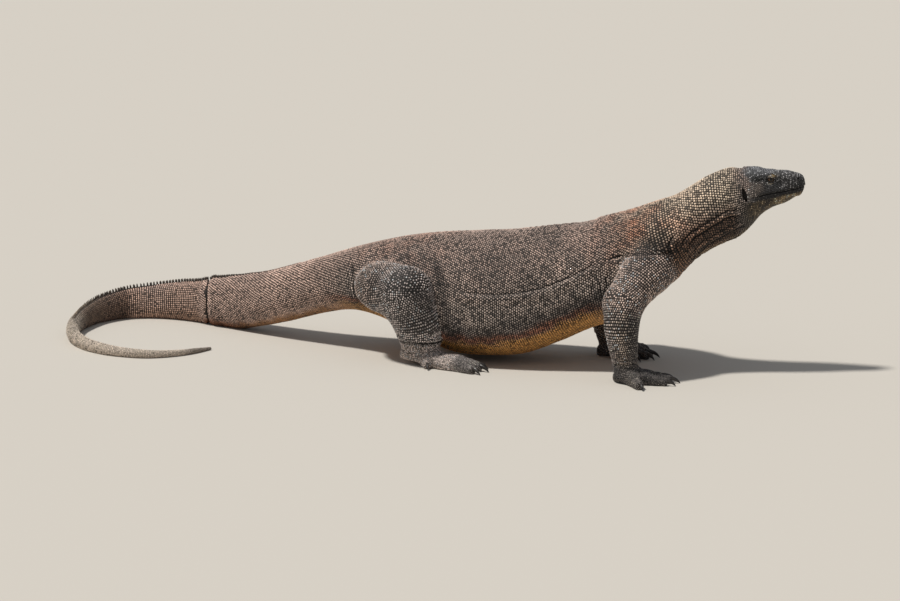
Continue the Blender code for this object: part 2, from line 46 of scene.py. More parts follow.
RNG = np.random.default_rng(11)
SHIFT = np.array([0.1614, 0.0241, 0.0])      # from the animal's own axes to the row frame
EYE_RADIUS, EYE_OUT, EYE_UP = 0.0084, 0.0245, 0.0232
SNOUT_CAP = 0.0155
COAT = 0.0012                                # the skin lies this far inside the solids

# ------------------------------------------------------------------ the animal's sections
# centre x, y, z; pitch (degrees); half width; height above and below the centre; squareness
BODY = [
    ("snout",        0.6005, 0.0425, 0.3755, -4, 0.0215, 0.0238, 0.0228, 2.5, 2.1),
    ("mid_snout",    0.582, 0.0380, 0.3710, -1, 0.0275, 0.0332, 0.0292, 2.6, 2.3),
    ("eye",          0.556, 0.0325, 0.3670, -1, 0.0335, 0.0375, 0.0355, 2.7, 2.4),
    ("temple",       0.531, 0.0275, 0.3600,  3, 0.0410, 0.0500, 0.0440, 2.5, 2.3),
    ("ear",          0.506, 0.0220, 0.3500,  6, 0.0475, 0.0600, 0.0595, 2.3, 2.2),
    ("nape",         0.479, 0.0170, 0.3385,  9, 0.0515, 0.0690, 0.0690, 2.1, 2.1),
    ("upper_neck",   0.453, 0.0120, 0.3265, 13, 0.0545, 0.0705, 0.0680, 2.0, 2.1),
    ("mid_neck",     0.422, 0.0080, 0.3075, 17, 0.0590, 0.0695, 0.0640, 2.0, 2.1),
    ("neck_base",    0.390, 0.0040, 0.2850, 19, 0.0690, 0.0705, 0.0630, 2.0, 2.1),
    ("chest_front",  0.359, 0.0000, 0.2600, 19, 0.0830, 0.0830, 0.0680, 2.0, 2.2),
    ("shoulder",     0.320, 0.0000, 0.2300, 15, 0.0960, 0.0975, 0.0765, 2.0, 2.2),
    ("axilla",       0.266, 0.0000, 0.1900, 10, 0.1040, 0.1180, 0.0850, 2.0, 2.1),
    ("fore_chest",   0.198, 0.0000, 0.1620,  4, 0.1120, 0.1270, 0.0840, 2.0, 2.0),
    ("ribs",         0.127, 0.0000, 0.1310,  0, 0.1260, 0.1440, 0.0890, 2.0, 2.0),
    ("mid_trunk",    0.059, 0.0000, 0.1100,  0, 0.1370, 0.1560, 0.0940, 2.0, 2.0),
    ("belly",       -0.011, 0.0000, 0.1010,  0, 0.1400, 0.1585, 0.0930, 2.0, 2.0),
    ("flank",       -0.074, 0.0000, 0.1030,  0, 0.1350, 0.1510, 0.0940, 2.0, 2.0),
    ("groin",       -0.136, 0.0000, 0.1170,  0, 0.1170, 0.1310, 0.0920, 2.0, 2.0),
    ("pelvis",      -0.204, 0.0030, 0.1370,  0, 0.0980, 0.0990, 0.0830, 2.0, 2.0),
    ("hip",         -0.260, 0.0080, 0.1440,  0, 0.0830, 0.0785, 0.0720, 2.0, 2.0),
    ("vent",        -0.321, 0.0200, 0.1400,  0, 0.0680, 0.0640, 0.0640, 2.0, 2.0),
    ("tail_root",   -0.392, 0.0400, 0.1200,  0, 0.0580, 0.0590, 0.0590, 2.0, 2.0),
    ("tail_1",      -0.456, 0.0620, 0.0990,  0, 0.0510, 0.0580, 0.0580, 2.0, 2.0),
    ("tail_2",      -0.536, 0.0950, 0.0740,  0, 0.0450, 0.0565, 0.0565, 2.0, 2.0),
    ("tail_3",      -0.617, 0.1300, 0.0560,  0, 0.0390, 0.0560, 0.0565, 2.1, 2.0),
    ("fold_front",  -0.690, 0.1590, 0.0475,  0, 0.0340, 0.0475, 0.0485, 2.2, 2.0),
    ("fold_back",   -0.712, 0.1670, 0.0450,  0, 0.0290, 0.0440, 0.0455, 2.3, 2.0),
    ("tail_4",      -0.780, 0.1840, 0.0380,  0, 0.0250, 0.0400, 0.0390, 2.4, 2.0),
    ("tail_5",      -0.842, 0.1800, 0.0335,  0, 0.0225, 0.0350, 0.0345, 2.4, 2.0),
    ("bend_in",     -0.893, 0.1500, 0.0300,  0, 0.0205, 0.0310, 0.0310, 2.4, 2.0),
    ("bend_1",      -0.920, 0.0920, 0.0260,  0, 0.0180, 0.0260, 0.0270, 2.3, 2.0),
    ("bend_2",      -0.923, 0.0180, 0.0220,  0, 0.0158, 0.0215, 0.0228, 2.2, 2.0),
    ("bend_3",      -0.907, -0.0650, 0.0180, 0, 0.0140, 0.0175, 0.0188, 2.1, 2.0),
    ("bend_out",    -0.864, -0.1510, 0.0150, 0, 0.0126, 0.0142, 0.0157, 2.0, 2.0),
    ("tail_6",      -0.802, -0.2130, 0.0125, 0, 0.0114, 0.0115, 0.0132, 2.0, 2.0),
    ("tail_7",      -0.730, -0.2450, 0.0105, 0, 0.0102, 0.0098, 0.0112, 2.0, 2.0),
    ("tail_8",      -0.664, -0.2440, 0.0088, 0, 0.0088, 0.0082, 0.0095, 2.0, 2.0),
    ("tail_9",      -0.613, -0.2010, 0.0068, 0, 0.0068, 0.0062, 0.0074, 2.0, 2.0),
    ("tail_10",     -0.589, -0.1500, 0.0048, 0, 0.0050, 0.0044, 0.0053, 2.0, 2.0),
    ("tail_tip",    -0.580, -0.1200, 0.0034, 0, 0.0034, 0.0030, 0.0037, 2.0, 2.0),
]
STATION = {row[0]: i for i, row in enumerate(BODY)}

# centre; direction of the limb's upper side; reach to upper side, under side, half width
ARM_RIGHT = [
    ("root",     (0.330, -0.020, 0.222), (0.5, 0, 1.0), 0.046, 0.046, 0.052),
    ("shoulder", (0.338, -0.078, 0.214), (0.5, 0, 1.0), 0.044, 0.048, 0.052),
    ("humerus",  (0.328, -0.122, 0.192), (0.8, -.2, .9), 0.041, 0.045, 0.045),
    ("elbow",    (0.311, -0.158, 0.156), (1.0, -.2, .5), 0.038, 0.041, 0.037),
    ("forearm",  (0.311, -0.172, 0.112), (1.0, -.1, 0.), 0.035, 0.035, 0.031),
    ("low_arm",  (0.3135, -0.170, 0.076), (1.0, 0.0, 0.), 0.030, 0.030, 0.027),
    ("wrist",    (0.316, -0.165, 0.044), (1.0, 0.0, .1), 0.0255, 0.0255, 0.0255),
    ("in_foot",  (0.320, -0.163, 0.016), (1.0, 0.0, .1), 0.0230, 0.0230, 0.0220),
]
ARM_LEFT = [
    ("root",     (0.318, 0.020, 0.222), (0.2, 0, 1.0), 0.046, 0.046, 0.052),
    ("shoulder", (0.300, 0.078, 0.212), (0.2, 0, 1.0), 0.044, 0.048, 0.050),
    ("humerus",  (0.246, 0.126, 0.194), (0.4, .3, .9), 0.041, 0.044, 0.043),
    ("elbow",    (0.190, 0.157, 0.160), (0.8, .3, .7), 0.039, 0.040, 0.037),
    ("forearm",  (0.166, 0.152, 0.114), (1.0, .2, .2), 0.035, 0.035, 0.031),
    ("low_arm",  (0.176, 0.132, 0.076), (1.0, .1, .1), 0.030, 0.030, 0.027),
    ("wrist",    (0.190, 0.116, 0.044), (1.0, 0.0, .2), 0.0255, 0.0255, 0.0255),
    ("in_foot",  (0.202, 0.108, 0.016), (1.0, 0.0, .2), 0.0230, 0.0230, 0.0220),
]
LEG_RIGHT = [
    ("root",     (-0.222, -0.005, 0.138), (0.0, 0, 1.0), 0.050, 0.046, 0.058),
    ("hip",      (-0.222, -0.066, 0.144), (0.0, 0, 1.0), 0.051, 0.049, 0.060),
    ("thigh",    (-0.196, -0.115, 0.148), (0.1, -.1, 1.), 0.053, 0.052, 0.053),
    ("knee",     (-0.148, -0.143, 0.145), (.75, -.4, .7), 0.053, 0.050, 0.046),
    ("shin",     (-0.132, -0.137, 0.094), (1.0, -.3, .1), 0.050, 0.051, 0.039),
    ("calf",     (-0.127, -0.125, 0.062), (1.0, -.2, .0), 0.046, 0.046, 0.036),
    ("ankle",    (-0.123, -0.117, 0.040), (1.0, -.2, .1), 0.042, 0.042, 0.033),
    ("in_foot",  (-0.119, -0.114, 0.022), (1.0, -.2, .1), 0.032, 0.034, 0.026),
]
SPLIT_AT = 3
FOOT_FORE = dict(
    heel=(0.314, 0.160), ball=(0.347, 0.172), heel_half=0.021, ball_half=0.027,
    height=0.034, lift=0.0, claw=0.024,
    toes=[(-0.80, -66, 0.046, 0.0088), (-0.45, -42, 0.062, 0.0094), (-0.05, -22, 0.070, 0.0096),
          (0.35, -6, 0.068, 0.0098), (0.60, 52, 0.056, 0.0108)])
FOOT_HIND = dict(
    heel=(-0.142, 0.118), ball=(-0.052, 0.143), heel_half=0.024, ball_half=0.027,
    height=0.034, lift=0.009, claw=0.026,
    toes=[(-0.85, -20, 0.040, 0.0088), (-0.50, -4, 0.060, 0.0096), (-0.05, 10, 0.076, 0.0102),
          (0.45, 24, 0.080, 0.0104), (1.02, 64, 0.030, 0.0092)])
CLAW_ROOT = 0.0046
LEFT_FORE_SHIFT = (-0.118, -0.058)
LEFT_HIND_SHIFT = (-0.015, 0.000)


# ------------------------------------------------------------------ small maths
def unit(v):
    return v / np.maximum(np.linalg.norm(v, axis=-1, keepdims=True), 1e-12)


def smooth(knots, rows, at):
    """Cubic curve through rows at knots, with slopes from the neighbouring rows."""
    knots, rows, at = (np.asarray(v, float) for v in (knots, rows, at))
    step = np.diff(knots)[:, None]
    rise = np.diff(rows, axis=0) / step
    slope = np.empty_like(rows)
    slope[0], slope[-1] = rise[0], rise[-1]
    slope[1:-1] = (rise[:-1] * step[1:] + rise[1:] * step[:-1]) / (step[:-1] + step[1:])
    i = np.clip(np.searchsorted(knots, at, side="right") - 1, 0, len(knots) - 2)
    h = step[i]
    t = ((at - knots[i])[:, None]) / h
    return ((2 * t**3 - 3 * t**2 + 1) * rows[i] + (t**3 - 2 * t**2 + t) * h * slope[i]
            + (3 * t**2 - 2 * t**3) * rows[i + 1] + (t**3 - t**2) * h * slope[i + 1])


def ramp(v, low, high):
    """0 below low, 1 above high, smooth between. Works either way round."""
    t = np.clip((v - low) / (high - low), 0, 1)
    return t * t * (3 - 2 * t)


def bell(v, middle, width):
    return np.exp(-((v - middle) / width) ** 2)


def blend(a, b, w):
    w = np.asarray(w)
    return a * (1 - w) + b * w if np.ndim(a) == np.ndim(w) else a * (1 - w[:, None]) + b * w[:, None]


def smin(a, b, k):
    h = np.maximum(k - np.abs(a - b), 0) / k
    return np.minimum(a, b) - h * h * k * 0.25


def lattice_noise(p, size, seed=0):
    """Smooth value noise between -1 and 1 at points p, with lumps of about size."""
    q = np.asarray(p, float) / size
    i = np.floor(q).astype(np.int64)
    w = q - i
    w = w * w * (3 - 2 * w)
    total = np.zeros(len(q))
    for dx in (0, 1):
        for dy in (0, 1):
            for dz in (0, 1):
                h = ((i[:, 0] + dx) * 73856093) ^ ((i[:, 1] + dy) * 19349663) ^ ((i[:, 2] + dz) * 83492791) ^ (seed * 2654435761)
                h = (h ^ (h >> 13)) * 1274126177
                value = ((h ^ (h >> 16)) & 0xFFFF) / 32767.5 - 1
                total += value * np.where(dx, w[:, 0], 1 - w[:, 0]) * np.where(dy, w[:, 1], 1 - w[:, 1]) * np.where(dz, w[:, 2], 1 - w[:, 2])
    return total


def to_line(x, z, line):
    """Distance from points (x, z) to a bent line, the share of the way along it, and the side."""
    line = np.asarray(line, float)
    run = np.concatenate([[0], np.cumsum(np.linalg.norm(np.diff(line, axis=0), axis=1))])
    best, share, hand = np.full(len(x), 1e9), np.zeros(len(x)), np.zeros(len(x))
    for k in range(len(line) - 1):
        d = line[k + 1] - line[k]
        t = np.clip(((x - line[k, 0]) * d[0] + (z - line[k, 1]) * d[1]) / (d @ d), 0, 1)
        ex, ez = x - line[k, 0] - t * d[0], z - line[k, 1] - t * d[1]
        far = np.hypot(ex, ez)
        near = far < best
        best = np.where(near, far, best)
        share = np.where(near, (run[k] + t * (run[k + 1] - run[k])) / run[-1], share)
        hand = np.where(near, np.sign(d[0] * ez - d[1] * ex), hand)
    return best, share, hand


BODY_ROWS = np.array([row[1:] for row in BODY], float)
BODY_KNOTS = np.concatenate([[0], np.cumsum(np.linalg.norm(np.diff(BODY_ROWS[:, :3], axis=0), axis=1))])
TAIL_END = BODY_KNOTS[-1]


def at_station(name, further=0.0):
    return BODY_KNOTS[STATION[name]] + further


def body_frame(s):
    """Centre, forward, left and up directions and the section's sizes at lengths s."""
    s = np.atleast_1d(np.asarray(s, float))
    row = smooth(BODY_KNOTS, BODY_ROWS, s)
    ahead = smooth(BODY_KNOTS, BODY_ROWS, np.clip(s - 0.002, 0, TAIL_END))
    behind = smooth(BODY_KNOTS, BODY_ROWS, np.clip(s + 0.002, 0, TAIL_END))
    heading = ahead[:, :3] - behind[:, :3]
    heading[:, 2] = 0
    heading = unit(heading)
    pitch = np.radians(row[:, 3:4])
    forward = heading * np.cos(pitch) + np.array([0, 0, 1.0]) * np.sin(pitch)
    left = unit(np.cross([0, 0, 1.0], heading))
    return row[:, :3], forward, left, np.cross(forward, left), row[:, 4:]


# ------------------------------------------------------------------ forms
class Form:
    """A tapering form carried by close sections, each with a middle, its own axes and half sizes."""

    def __init__(self, name, centre, side, up, along, half, high, low, sq_high=2.0, sq_low=2.0, caps=(0.01, 0.01)):
        n = len(centre)
        full = lambda v: np.broadcast_to(np.asarray(v, float), (n,))
        self.name = name
        self.rows = np.column_stack([centre, side, up, along, full(half), full(high), full(low), full(sq_high), full(sq_low)])
        self.caps = caps
        reach = max(self.rows[:, 12:15].max(), *caps)
        self.low, self.high = centre.min(0) - reach, centre.max(0) + reach
        self.run = np.concatenate([[0], np.cumsum(np.linalg.norm(np.diff(self.rows[:, :3], axis=0), axis=1))])

    def row(self, t):
        i = np.clip(t.astype(int), 0, len(self.rows) - 2)
        w = (t - i)[:, None]
        return self.rows[i] * (1 - w) + self.rows[i + 1] * w

    def locate(self, p):
        """The place along the form, counted in sections, whose plane holds each point."""
        stride = 7 if len(self.rows) > 500 else 3
        centre = self.rows[::stride, :3].astype(np.float32)
        t = np.empty(len(p))
        square = (centre**2).sum(1)
        q = p.astype(np.float32)
        for k in range(0, len(p), 8000):
            t[k:k + 8000] = np.argmin(square[None] - 2 * q[k:k + 8000] @ centre.T, axis=1) * stride
        last = len(self.rows) - 1
        for _ in range(4):
            r = self.row(t)
            i = np.clip(t.astype(int), 0, last - 1)
            step = self.rows[i + 1, :3] - self.rows[i, :3]
            gap = ((p - r[:, :3]) * r[:, 9:12]).sum(1)
            slope = (step * r[:, 9:12]).sum(1)
            t = np.clip(t + np.clip(gap / slope, -4, 4), 0, last)
        return t

    def measure(self, p):
        """Rough distance outside the form, the place along it, and the offsets across and up."""
        t = self.locate(p)
        r = self.row(t)
        d = p - r[:, :3]
        a, b, g = (d * r[:, 3:6]).sum(1), (d * r[:, 6:9]).sum(1), np.abs((d * r[:, 9:12]).sum(1))
        last = len(self.rows) - 1
        g = np.where((t <= 0) | (t >= last), g, 0)
        over = g / np.where(t <= 0, self.caps[0], self.caps[1])
        power = np.where(b >= 0, r[:, 15], r[:, 16])
        reach = np.where(b >= 0, r[:, 13], r[:, 14])
        rho = ((np.abs(a) / r[:, 12]) ** power + (np.abs(b) / reach) ** power) ** (1 / power)
        rho = np.maximum((rho**2.2 + over**2.2) ** (1 / 2.2), 1e-4)
        return np.sqrt(a * a + b * b + g * g) * (1 - 1 / rho), t, a, b

    def ring(self, k, angle):
        r = self.rows[k]
        c, s = np.cos(angle), np.sin(angle)
        power = np.where(s >= 0, r[15], r[16])
        out = np.sign(c) * np.abs(c) ** (2 / power) * r[12]
        rise = np.sign(s) * np.abs(s) ** (2 / power) * np.where(s >= 0, r[13], r[14])
        return r[:3] + out[:, None] * r[3:6] + rise[:, None] * r[6:9]

    def lofted(self, step, count):
        """Rings for a closed mesh, with rounded ends."""
        angle = 2 * np.pi * (np.arange(count) + 0.5) / count
        rings = [self.ring(k, angle) for k in [*range(0, len(self.rows) - 1, step), len(self.rows) - 1]]
        for end, inner, cap in ((0, 1, self.caps[0]), (-1, -2, self.caps[1])):
            middle, ring = self.rows[end, :3], rings[end]
            out = unit(self.rows[end, :3] - self.rows[inner, :3])
            along = self.rows[end, 9:12] * np.sign(out @ self.rows[end, 9:12])
            more = [middle + (ring - middle) * math.cos(q) + along * cap * math.sin(q) for q in (0.45, 0.85, 1.2, 1.45)]
            rings = more[::-1] + rings if end == 0 else rings + more
        return rings


def body_form():
    s = np.linspace(0, TAIL_END, 1000)
    centre, forward, left, up, size = body_frame(s)
    return Form("body", centre, left, up, forward, size[:, 0], size[:, 1], size[:, 2], size[:, 3], size[:, 4], (SNOUT_CAP, 0.004))


def limb_form(name, rows, caps, steps=26):
    data = np.array([[*c, *d, a, b, w] for n, c, d, a, b, w in rows], float)
    knots = np.arange(len(rows), dtype=float)
    places = np.linspace(0, knots[-1], (len(rows) - 1) * steps + 1)
    at = smooth(knots, data, places)
    low = smooth(knots, data, np.clip(places - 0.05, 0, knots[-1]))
    high = smooth(knots, data, np.clip(places + 0.05, 0, knots[-1]))
    along = unit(high[:, :3] - low[:, :3])
    side = unit(np.cross(at[:, 3:6], along))
    return Form(name, at[:, :3], side, np.cross(along, side), along, at[:, 8], at[:, 6], at[:, 7], caps=caps)


def mirrored(rows, shift=(0, 0)):
    return [(n, (c[0] + shift[0], -c[1] + shift[1], c[2]), (d[0], -d[1], d[2]), a, b, w) for n, c, d, a, b, w in rows]


def foot_forms(prefix, spec, side, shift):
    """The sole and the toes of a foot, and where each claw starts."""
    def place(x, y):
        return np.array([x + shift[0], side * y + shift[1]])

    heel, ball_at = place(*spec["heel"]), place(*spec["ball"])
    ahead = unit(np.append(ball_at - heel, 0.0))
    across = np.cross([0, 0, 1.0], ahead) * side
    up = np.array([0, 0, 1.0])
    reach = np.linalg.norm(ball_at - heel)
    rows = []
    for t, half, high in ((-0.55, 0.55, 0.55), (-0.25, 0.9, 0.85), (0.2, 1.0, 1.0), (0.6, 1.0, 0.95), (0.9, 1.0, 0.72), (1.15, 0.90, 0.52)):
        wide = spec["heel_half"] + (spec["ball_half"] - spec["heel_half"]) * min(max(t, 0), 1)
        base = spec["lift"] * max(0.0, 1 - max(t, 0) / 0.75)
        middle = np.array([*heel, 0.0]) + ahead * (t * reach if t > 0 else t * spec["heel_half"] * 1.6)
        tall = spec["height"] * high
        centre = middle + up * (base + tall * 0.42)
        rows.append([*centre, wide * half, tall * 0.58, tall * 0.42 + (0.004 if t > 0.5 else 0.0005)])
    knots = np.arange(6.0)
    at = smooth(knots, rows, np.linspace(0, 5, 60))
    spread = lambda v: np.tile(v, (60, 1))
    forms = [Form(prefix + "_sole", at[:, :3], spread(across), spread(up), spread(ahead), at[:, 3], at[:, 4], at[:, 5], 2.3, 2.3, (0.006, 0.004))]
    claws = []
    for number, (place_across, heading, length, thick) in enumerate(spec["toes"], 1):
        root = ball_at + across[:2] * place_across * spec["ball_half"] * 0.78 - ahead[:2] * (0.012 if abs(place_across) < 1 else 0.056)
        if place_across > 1:
            root = root - across[:2] * 0.012
        turn = math.radians(side * heading)
        toward = np.array([math.cos(turn), math.sin(turn), 0.0])
        knots = np.array([0.0, 0.40, 0.75, 1.0])
        points = np.array([[root[0], root[1], 0.0] + toward * length * t + up * z for t, z in zip(knots, (0.0170, 0.0155, 0.0105, 0.0088))])
        fat = thick * np.array([1.15, 1.05, 0.92, 0.74])
        t = np.linspace(0, 1, 40)
        path = smooth(knots, np.column_stack([points, fat]), t)
        slope = unit(np.gradient(path[:, :3], axis=0))
        cross = np.cross([0, 0, 1.0], toward)
        raised = np.cross(slope, cross)
        knuckle = 1 + 0.07 * bell(t, 0.42, 0.10) + 0.06 * bell(t, 0.74, 0.08) + 0.05 * bell(t, 0.97, 0.06) - 0.05 * bell(t, 0.58, 0.07) - 0.05 * bell(t, 0.86, 0.06)
        wide = path[:, 3] * knuckle
        forms.append(Form(f"{prefix}_toe_{number}", path[:, :3], np.tile(cross, (40, 1)), raised, slope,
                          wide, wide * 0.95, np.maximum(wide, path[:, 2] + 0.0025), caps=(0.005, 0.0035)))
        down = unit(np.array([*toward[:2], -0.25]))
        claws.append((f"{prefix}_claw_{number}", points[-1], down, cross, np.cross(down, cross), spec["claw"] * (0.85 if number in (1, 5) else 1.0)))
    return forms, claws


BODY_FORM = body_form()
LIMBS, FEET, CLAWS = {}, {}, []
for name, rows, kind, spec, side, shift in (
    ("right", ARM_RIGHT, "fore", FOOT_FORE, -1, (0, 0)),
    ("left", ARM_LEFT, "fore", FOOT_FORE, 1, LEFT_FORE_SHIFT),
    ("right", LEG_RIGHT, "hind", FOOT_HIND, -1, (0, 0)),
    ("left", mirrored(LEG_RIGHT, LEFT_HIND_SHIFT), "hind", FOOT_HIND, 1, LEFT_HIND_SHIFT),
):
    joint = rows[SPLIT_AT][5]
    LIMBS[name, kind] = (limb_form(f"{name}_{kind}_upper", rows[:SPLIT_AT + 1], (0.02, joint)),
                         limb_form(f"{name}_{kind}_lower", rows[SPLIT_AT:], (joint, 0.006)))
    forms, claws = foot_forms(f"{name}_{kind}foot", spec, side, shift)
    FEET[name, kind] = forms
    CLAWS += claws
FORMS = [BODY_FORM] + [f for pair in LIMBS.values() for f in pair] + [f for group in FEET.values() for f in group]
FORM_ID = {form.name: i for i, form in enumerate(FORMS)}
SOFTNESS = {"fore": 0.022, "hind": 0.014}    # how round the limb runs into the trunk


def shape(p):
    """Rough distance outside the whole animal, the nearest form, and the place, across and up there."""
    n = len(p)
    which, place = np.zeros(n, int), np.zeros(n)
    across, rise, nearest = np.zeros(n), np.zeros(n), np.full(n, 9.0)

    def one(form):
        f = np.full(n, 1.0)
        inside = np.where(((p > form.low - 0.03) & (p < form.high + 0.03)).all(1))[0]
        if len(inside):
            f[inside], t, a, b = form.measure(p[inside])
            closer = f[inside] < nearest[inside]
            hit = inside[closer]
            nearest[hit], which[hit] = f[hit], FORM_ID[form.name]
            place[hit], across[hit], rise[hit] = t[closer], a[closer], b[closer]
        return f

    total = one(BODY_FORM)
    for key, (upper, lower) in LIMBS.items():
        leg = smin(one(upper), one(lower), 0.012 if key[1] == "fore" else 0.024)
        sole, *toes = FEET[key]
        foot = one(sole)
        for toe in toes:
            foot = smin(foot, one(toe), 0.006)
        leg = smin(leg, foot, 0.012)
        total = smin(total, leg, SOFTNESS[key[1]])
    floor = -p[:, 2]
    total = -smin(-total, -floor, 0.003)
    return total, which, place, across, rise


# ------------------------------------------------------------------ the skin's mesh
def voxelled(forms, voxel):
    """One closed mesh round all the forms."""
    made = bmesh.new()
    for form in forms:
        step, count = (3, 44) if form is BODY_FORM else (3, 28) if len(form.rows) > 60 else (4, 16)
        rings = form.lofted(step, count)
        rows = []
        for ring in rings:
            ring = ring.copy()
            ring[:, 2] = np.maximum(ring[:, 2], 0.0003)
            rows.append([made.verts.new(q) for q in ring])
        for a, b in zip(rows, rows[1:]):
            for i in range(count):
                j = (i + 1) % count
                made.faces.new((a[i], a[j], b[j], b[i]))
        made.faces.new(rows[0][::-1])
        made.faces.new(rows[-1])
    bmesh.ops.recalc_face_normals(made, faces=made.faces)
    mesh = bpy.data.meshes.new("forms")
    made.to_mesh(mesh)
    made.free()
    holder = bpy.data.objects.new("forms", mesh)
    bpy.context.scene.collection.objects.link(holder)
    remesh = holder.modifiers.new("voxel", "REMESH")
    remesh.mode = "VOXEL"
    remesh.voxel_size = voxel
    bpy.context.view_layer.update()
    made = bpy.data.meshes.new_from_object(holder.evaluated_get(bpy.context.evaluated_depsgraph_get()))
    bpy.data.objects.remove(holder, do_unlink=True)
    return made


def points_of(mesh):
    p = np.empty(len(mesh.vertices) * 3)
    mesh.vertices.foreach_get("co", p)
    return p.reshape(-1, 3)


def edges_of(mesh):
    e = np.empty(len(mesh.edges) * 2, np.int32)
    mesh.edges.foreach_get("vertices", e)
    return e.reshape(-1, 2)


def set_points(mesh, p):
    mesh.vertices.foreach_set("co", np.ascontiguousarray(p, np.float32).ravel())
    mesh.update()


def normals_of(mesh):
    n = np.empty(len(mesh.vertices) * 3)
    mesh.vertex_normals.foreach_get("vector", n)
    return n.reshape(-1, 3)


def averaged(p, edges, count):
    total = np.zeros_like(p)
    for c in range(p.shape[1]):
        total[:, c] = np.bincount(edges[:, 0], p[edges[:, 1], c], count) + np.bincount(edges[:, 1], p[edges[:, 0], c], count)
    degree = np.bincount(edges.ravel(), minlength=count)[:, None]
    return total / np.maximum(degree, 1)


def coat_depth(p, place, which):
    """How far the skin lies inside the solids: least on the face and feet, none on the floor."""
    s = TAIL_END * place / 999
    depth = np.where(which == 0, 0.0006 + (COAT - 0.0006) * ramp(s, 0.09, 0.16), COAT)
    depth = np.where(which > 8, 0.0007, depth)
    depth = np.where((which == 0) & (s > 1.85), depth * (1 - 0.6 * ramp(s, 1.85, 2.35)), depth)
    return depth * ramp(p[:, 2], 0.0015, 0.008)


def settle(mesh, rounds):
    """Moves the mesh onto the forms' common surface and evens its faces."""
    p, edges = points_of(mesh), edges_of(mesh)
    for k in range(rounds):
        f, which, place, _, _ = shape(p)
        n = normals_of(mesh)
        p = p - n * np.clip(f + coat_depth(p, place, which), -0.003, 0.003)[:, None]
        if k < rounds - 1:
            lift = averaged(p, edges, len(p)) - p
            p = p + 0.5 * (lift - n * (lift * n).sum(1, keepdims=True))
        set_points(mesh, p)


def refined(mesh, chosen):
    """Splits the chosen faces in four."""
    made = bmesh.new()
    made.from_mesh(mesh)
    made.faces.ensure_lookup_table()
    faces = [made.faces[i] for i in np.where(chosen)[0]]
    edges = list({e for f in faces for e in f.edges})
    bmesh.ops.subdivide_edges(made, edges=edges, cuts=1, use_grid_fill=True, smooth=0.0)
    made.to_mesh(mesh)
    made.free()


def centres_of(mesh):
    c = np.empty(len(mesh.polygons) * 3)
    mesh.polygons.foreach_get("center", c)
    return c.reshape(-1, 3)


MOUTH = np.array([(0.5330, 0.3552), (0.5486, 0.3600), (0.5648, 0.3630), (0.5807, 0.3657), (0.5992, 0.3697), (0.6146, 0.3742), (0.660, 0.3850)])
EYE_S, EAR_S = at_station("eye", 0.0040), at_station("ear", 0.0005)
EYE_C, EYE_F, EYE_L, EYE_U, _ = (v[0] for v in body_frame([EYE_S]))
EYE_AT = {side: EYE_C + EYE_L * side * EYE_OUT + EYE_U * EYE_UP for side in (-1, 1)}
EAR_C, EAR_F, EAR_L, EAR_U, EAR_SIZE = (v[0] for v in body_frame([EAR_S]))
EARS = {side: EAR_C + EAR_L * side * EAR_SIZE[0] * 0.985 + EAR_U * 0.009 for side in (-1, 1)}
NOSE_C, NOSE_F, NOSE_L, NOSE_U, NOSE_SIZE = (v[0] for v in body_frame([0.004]))
NOSTRILS = {side: NOSE_C + NOSE_L * side * 0.0171 + NOSE_U * 0.0161 + NOSE_F * 0.0055 for side in (-1, 1)}


def mouth_gap(p):
    return p[:, 2] - np.interp(p[:, 0], MOUTH[:, 0], MOUTH[:, 1])


FOLD_AT = at_station("fold_front", 0.011)
FOLD_C = body_frame([FOLD_AT])[0][0]
FOLD_N = np.array([0.970, 0.243, 0.0])      # the fold crosses the tail a little aslant


def fold_gap(p, s):
    """Distance ahead of the tail's fold, for points near it on the body."""
    return np.where(np.abs(s - FOLD_AT) < 0.070, (p - FOLD_C) @ FOLD_N, 9.0)


# Folds of the skin, and the band of painted shade in front of the thigh, as lines in the animal's side view (x, z), the
# same on both sides.
GULAR_FOLD = [(.508, .3240), (.4833, .3230), (.4608, .3088), (.4364, .2926), (.4165, .2788), (.4059, .2671), (.4032, .2508)]
THROAT_FOLD = [(.5121, .3058), (.4751, .2857), (.437, .263), (.4171, .2493)]
NECK_FOLD = [(.3905, .2300), (.3865, .2477), (.3817, .262), (.3884, .2756)]
LATERAL_FOLD = [(-.0496, .1579), (-.021, .1522), (.0254, .1511), (.0663, .1551), (.1061, .1626), (.1374, .1716), (.176, .1885), (.2147, .2094), (.2421, .2242)]
SHOULDER_FOLD = [(.250, .2270), (.2661, .2332), (.2843, .2381), (.3285, .2472), (.3649, .2470), (.392, .2440)]
ARMPIT_FOLDS = [[(.262, .215), (.2566, .1900), (.2566, .1650)], [(.247, .2050), (.2444, .1880), (.2470, .1600)], [(.232, .195), (.228, .178), (.231, .158)]]
THIGH_SHADE = [(-.106, .207), (-.082, .168), (-.069, .125), (-.060, .080), (-.052, .040)]
GROIN_RIDGE = [(-.3051, .1788), (-.2921, .1517), (-.2869, .1098)]


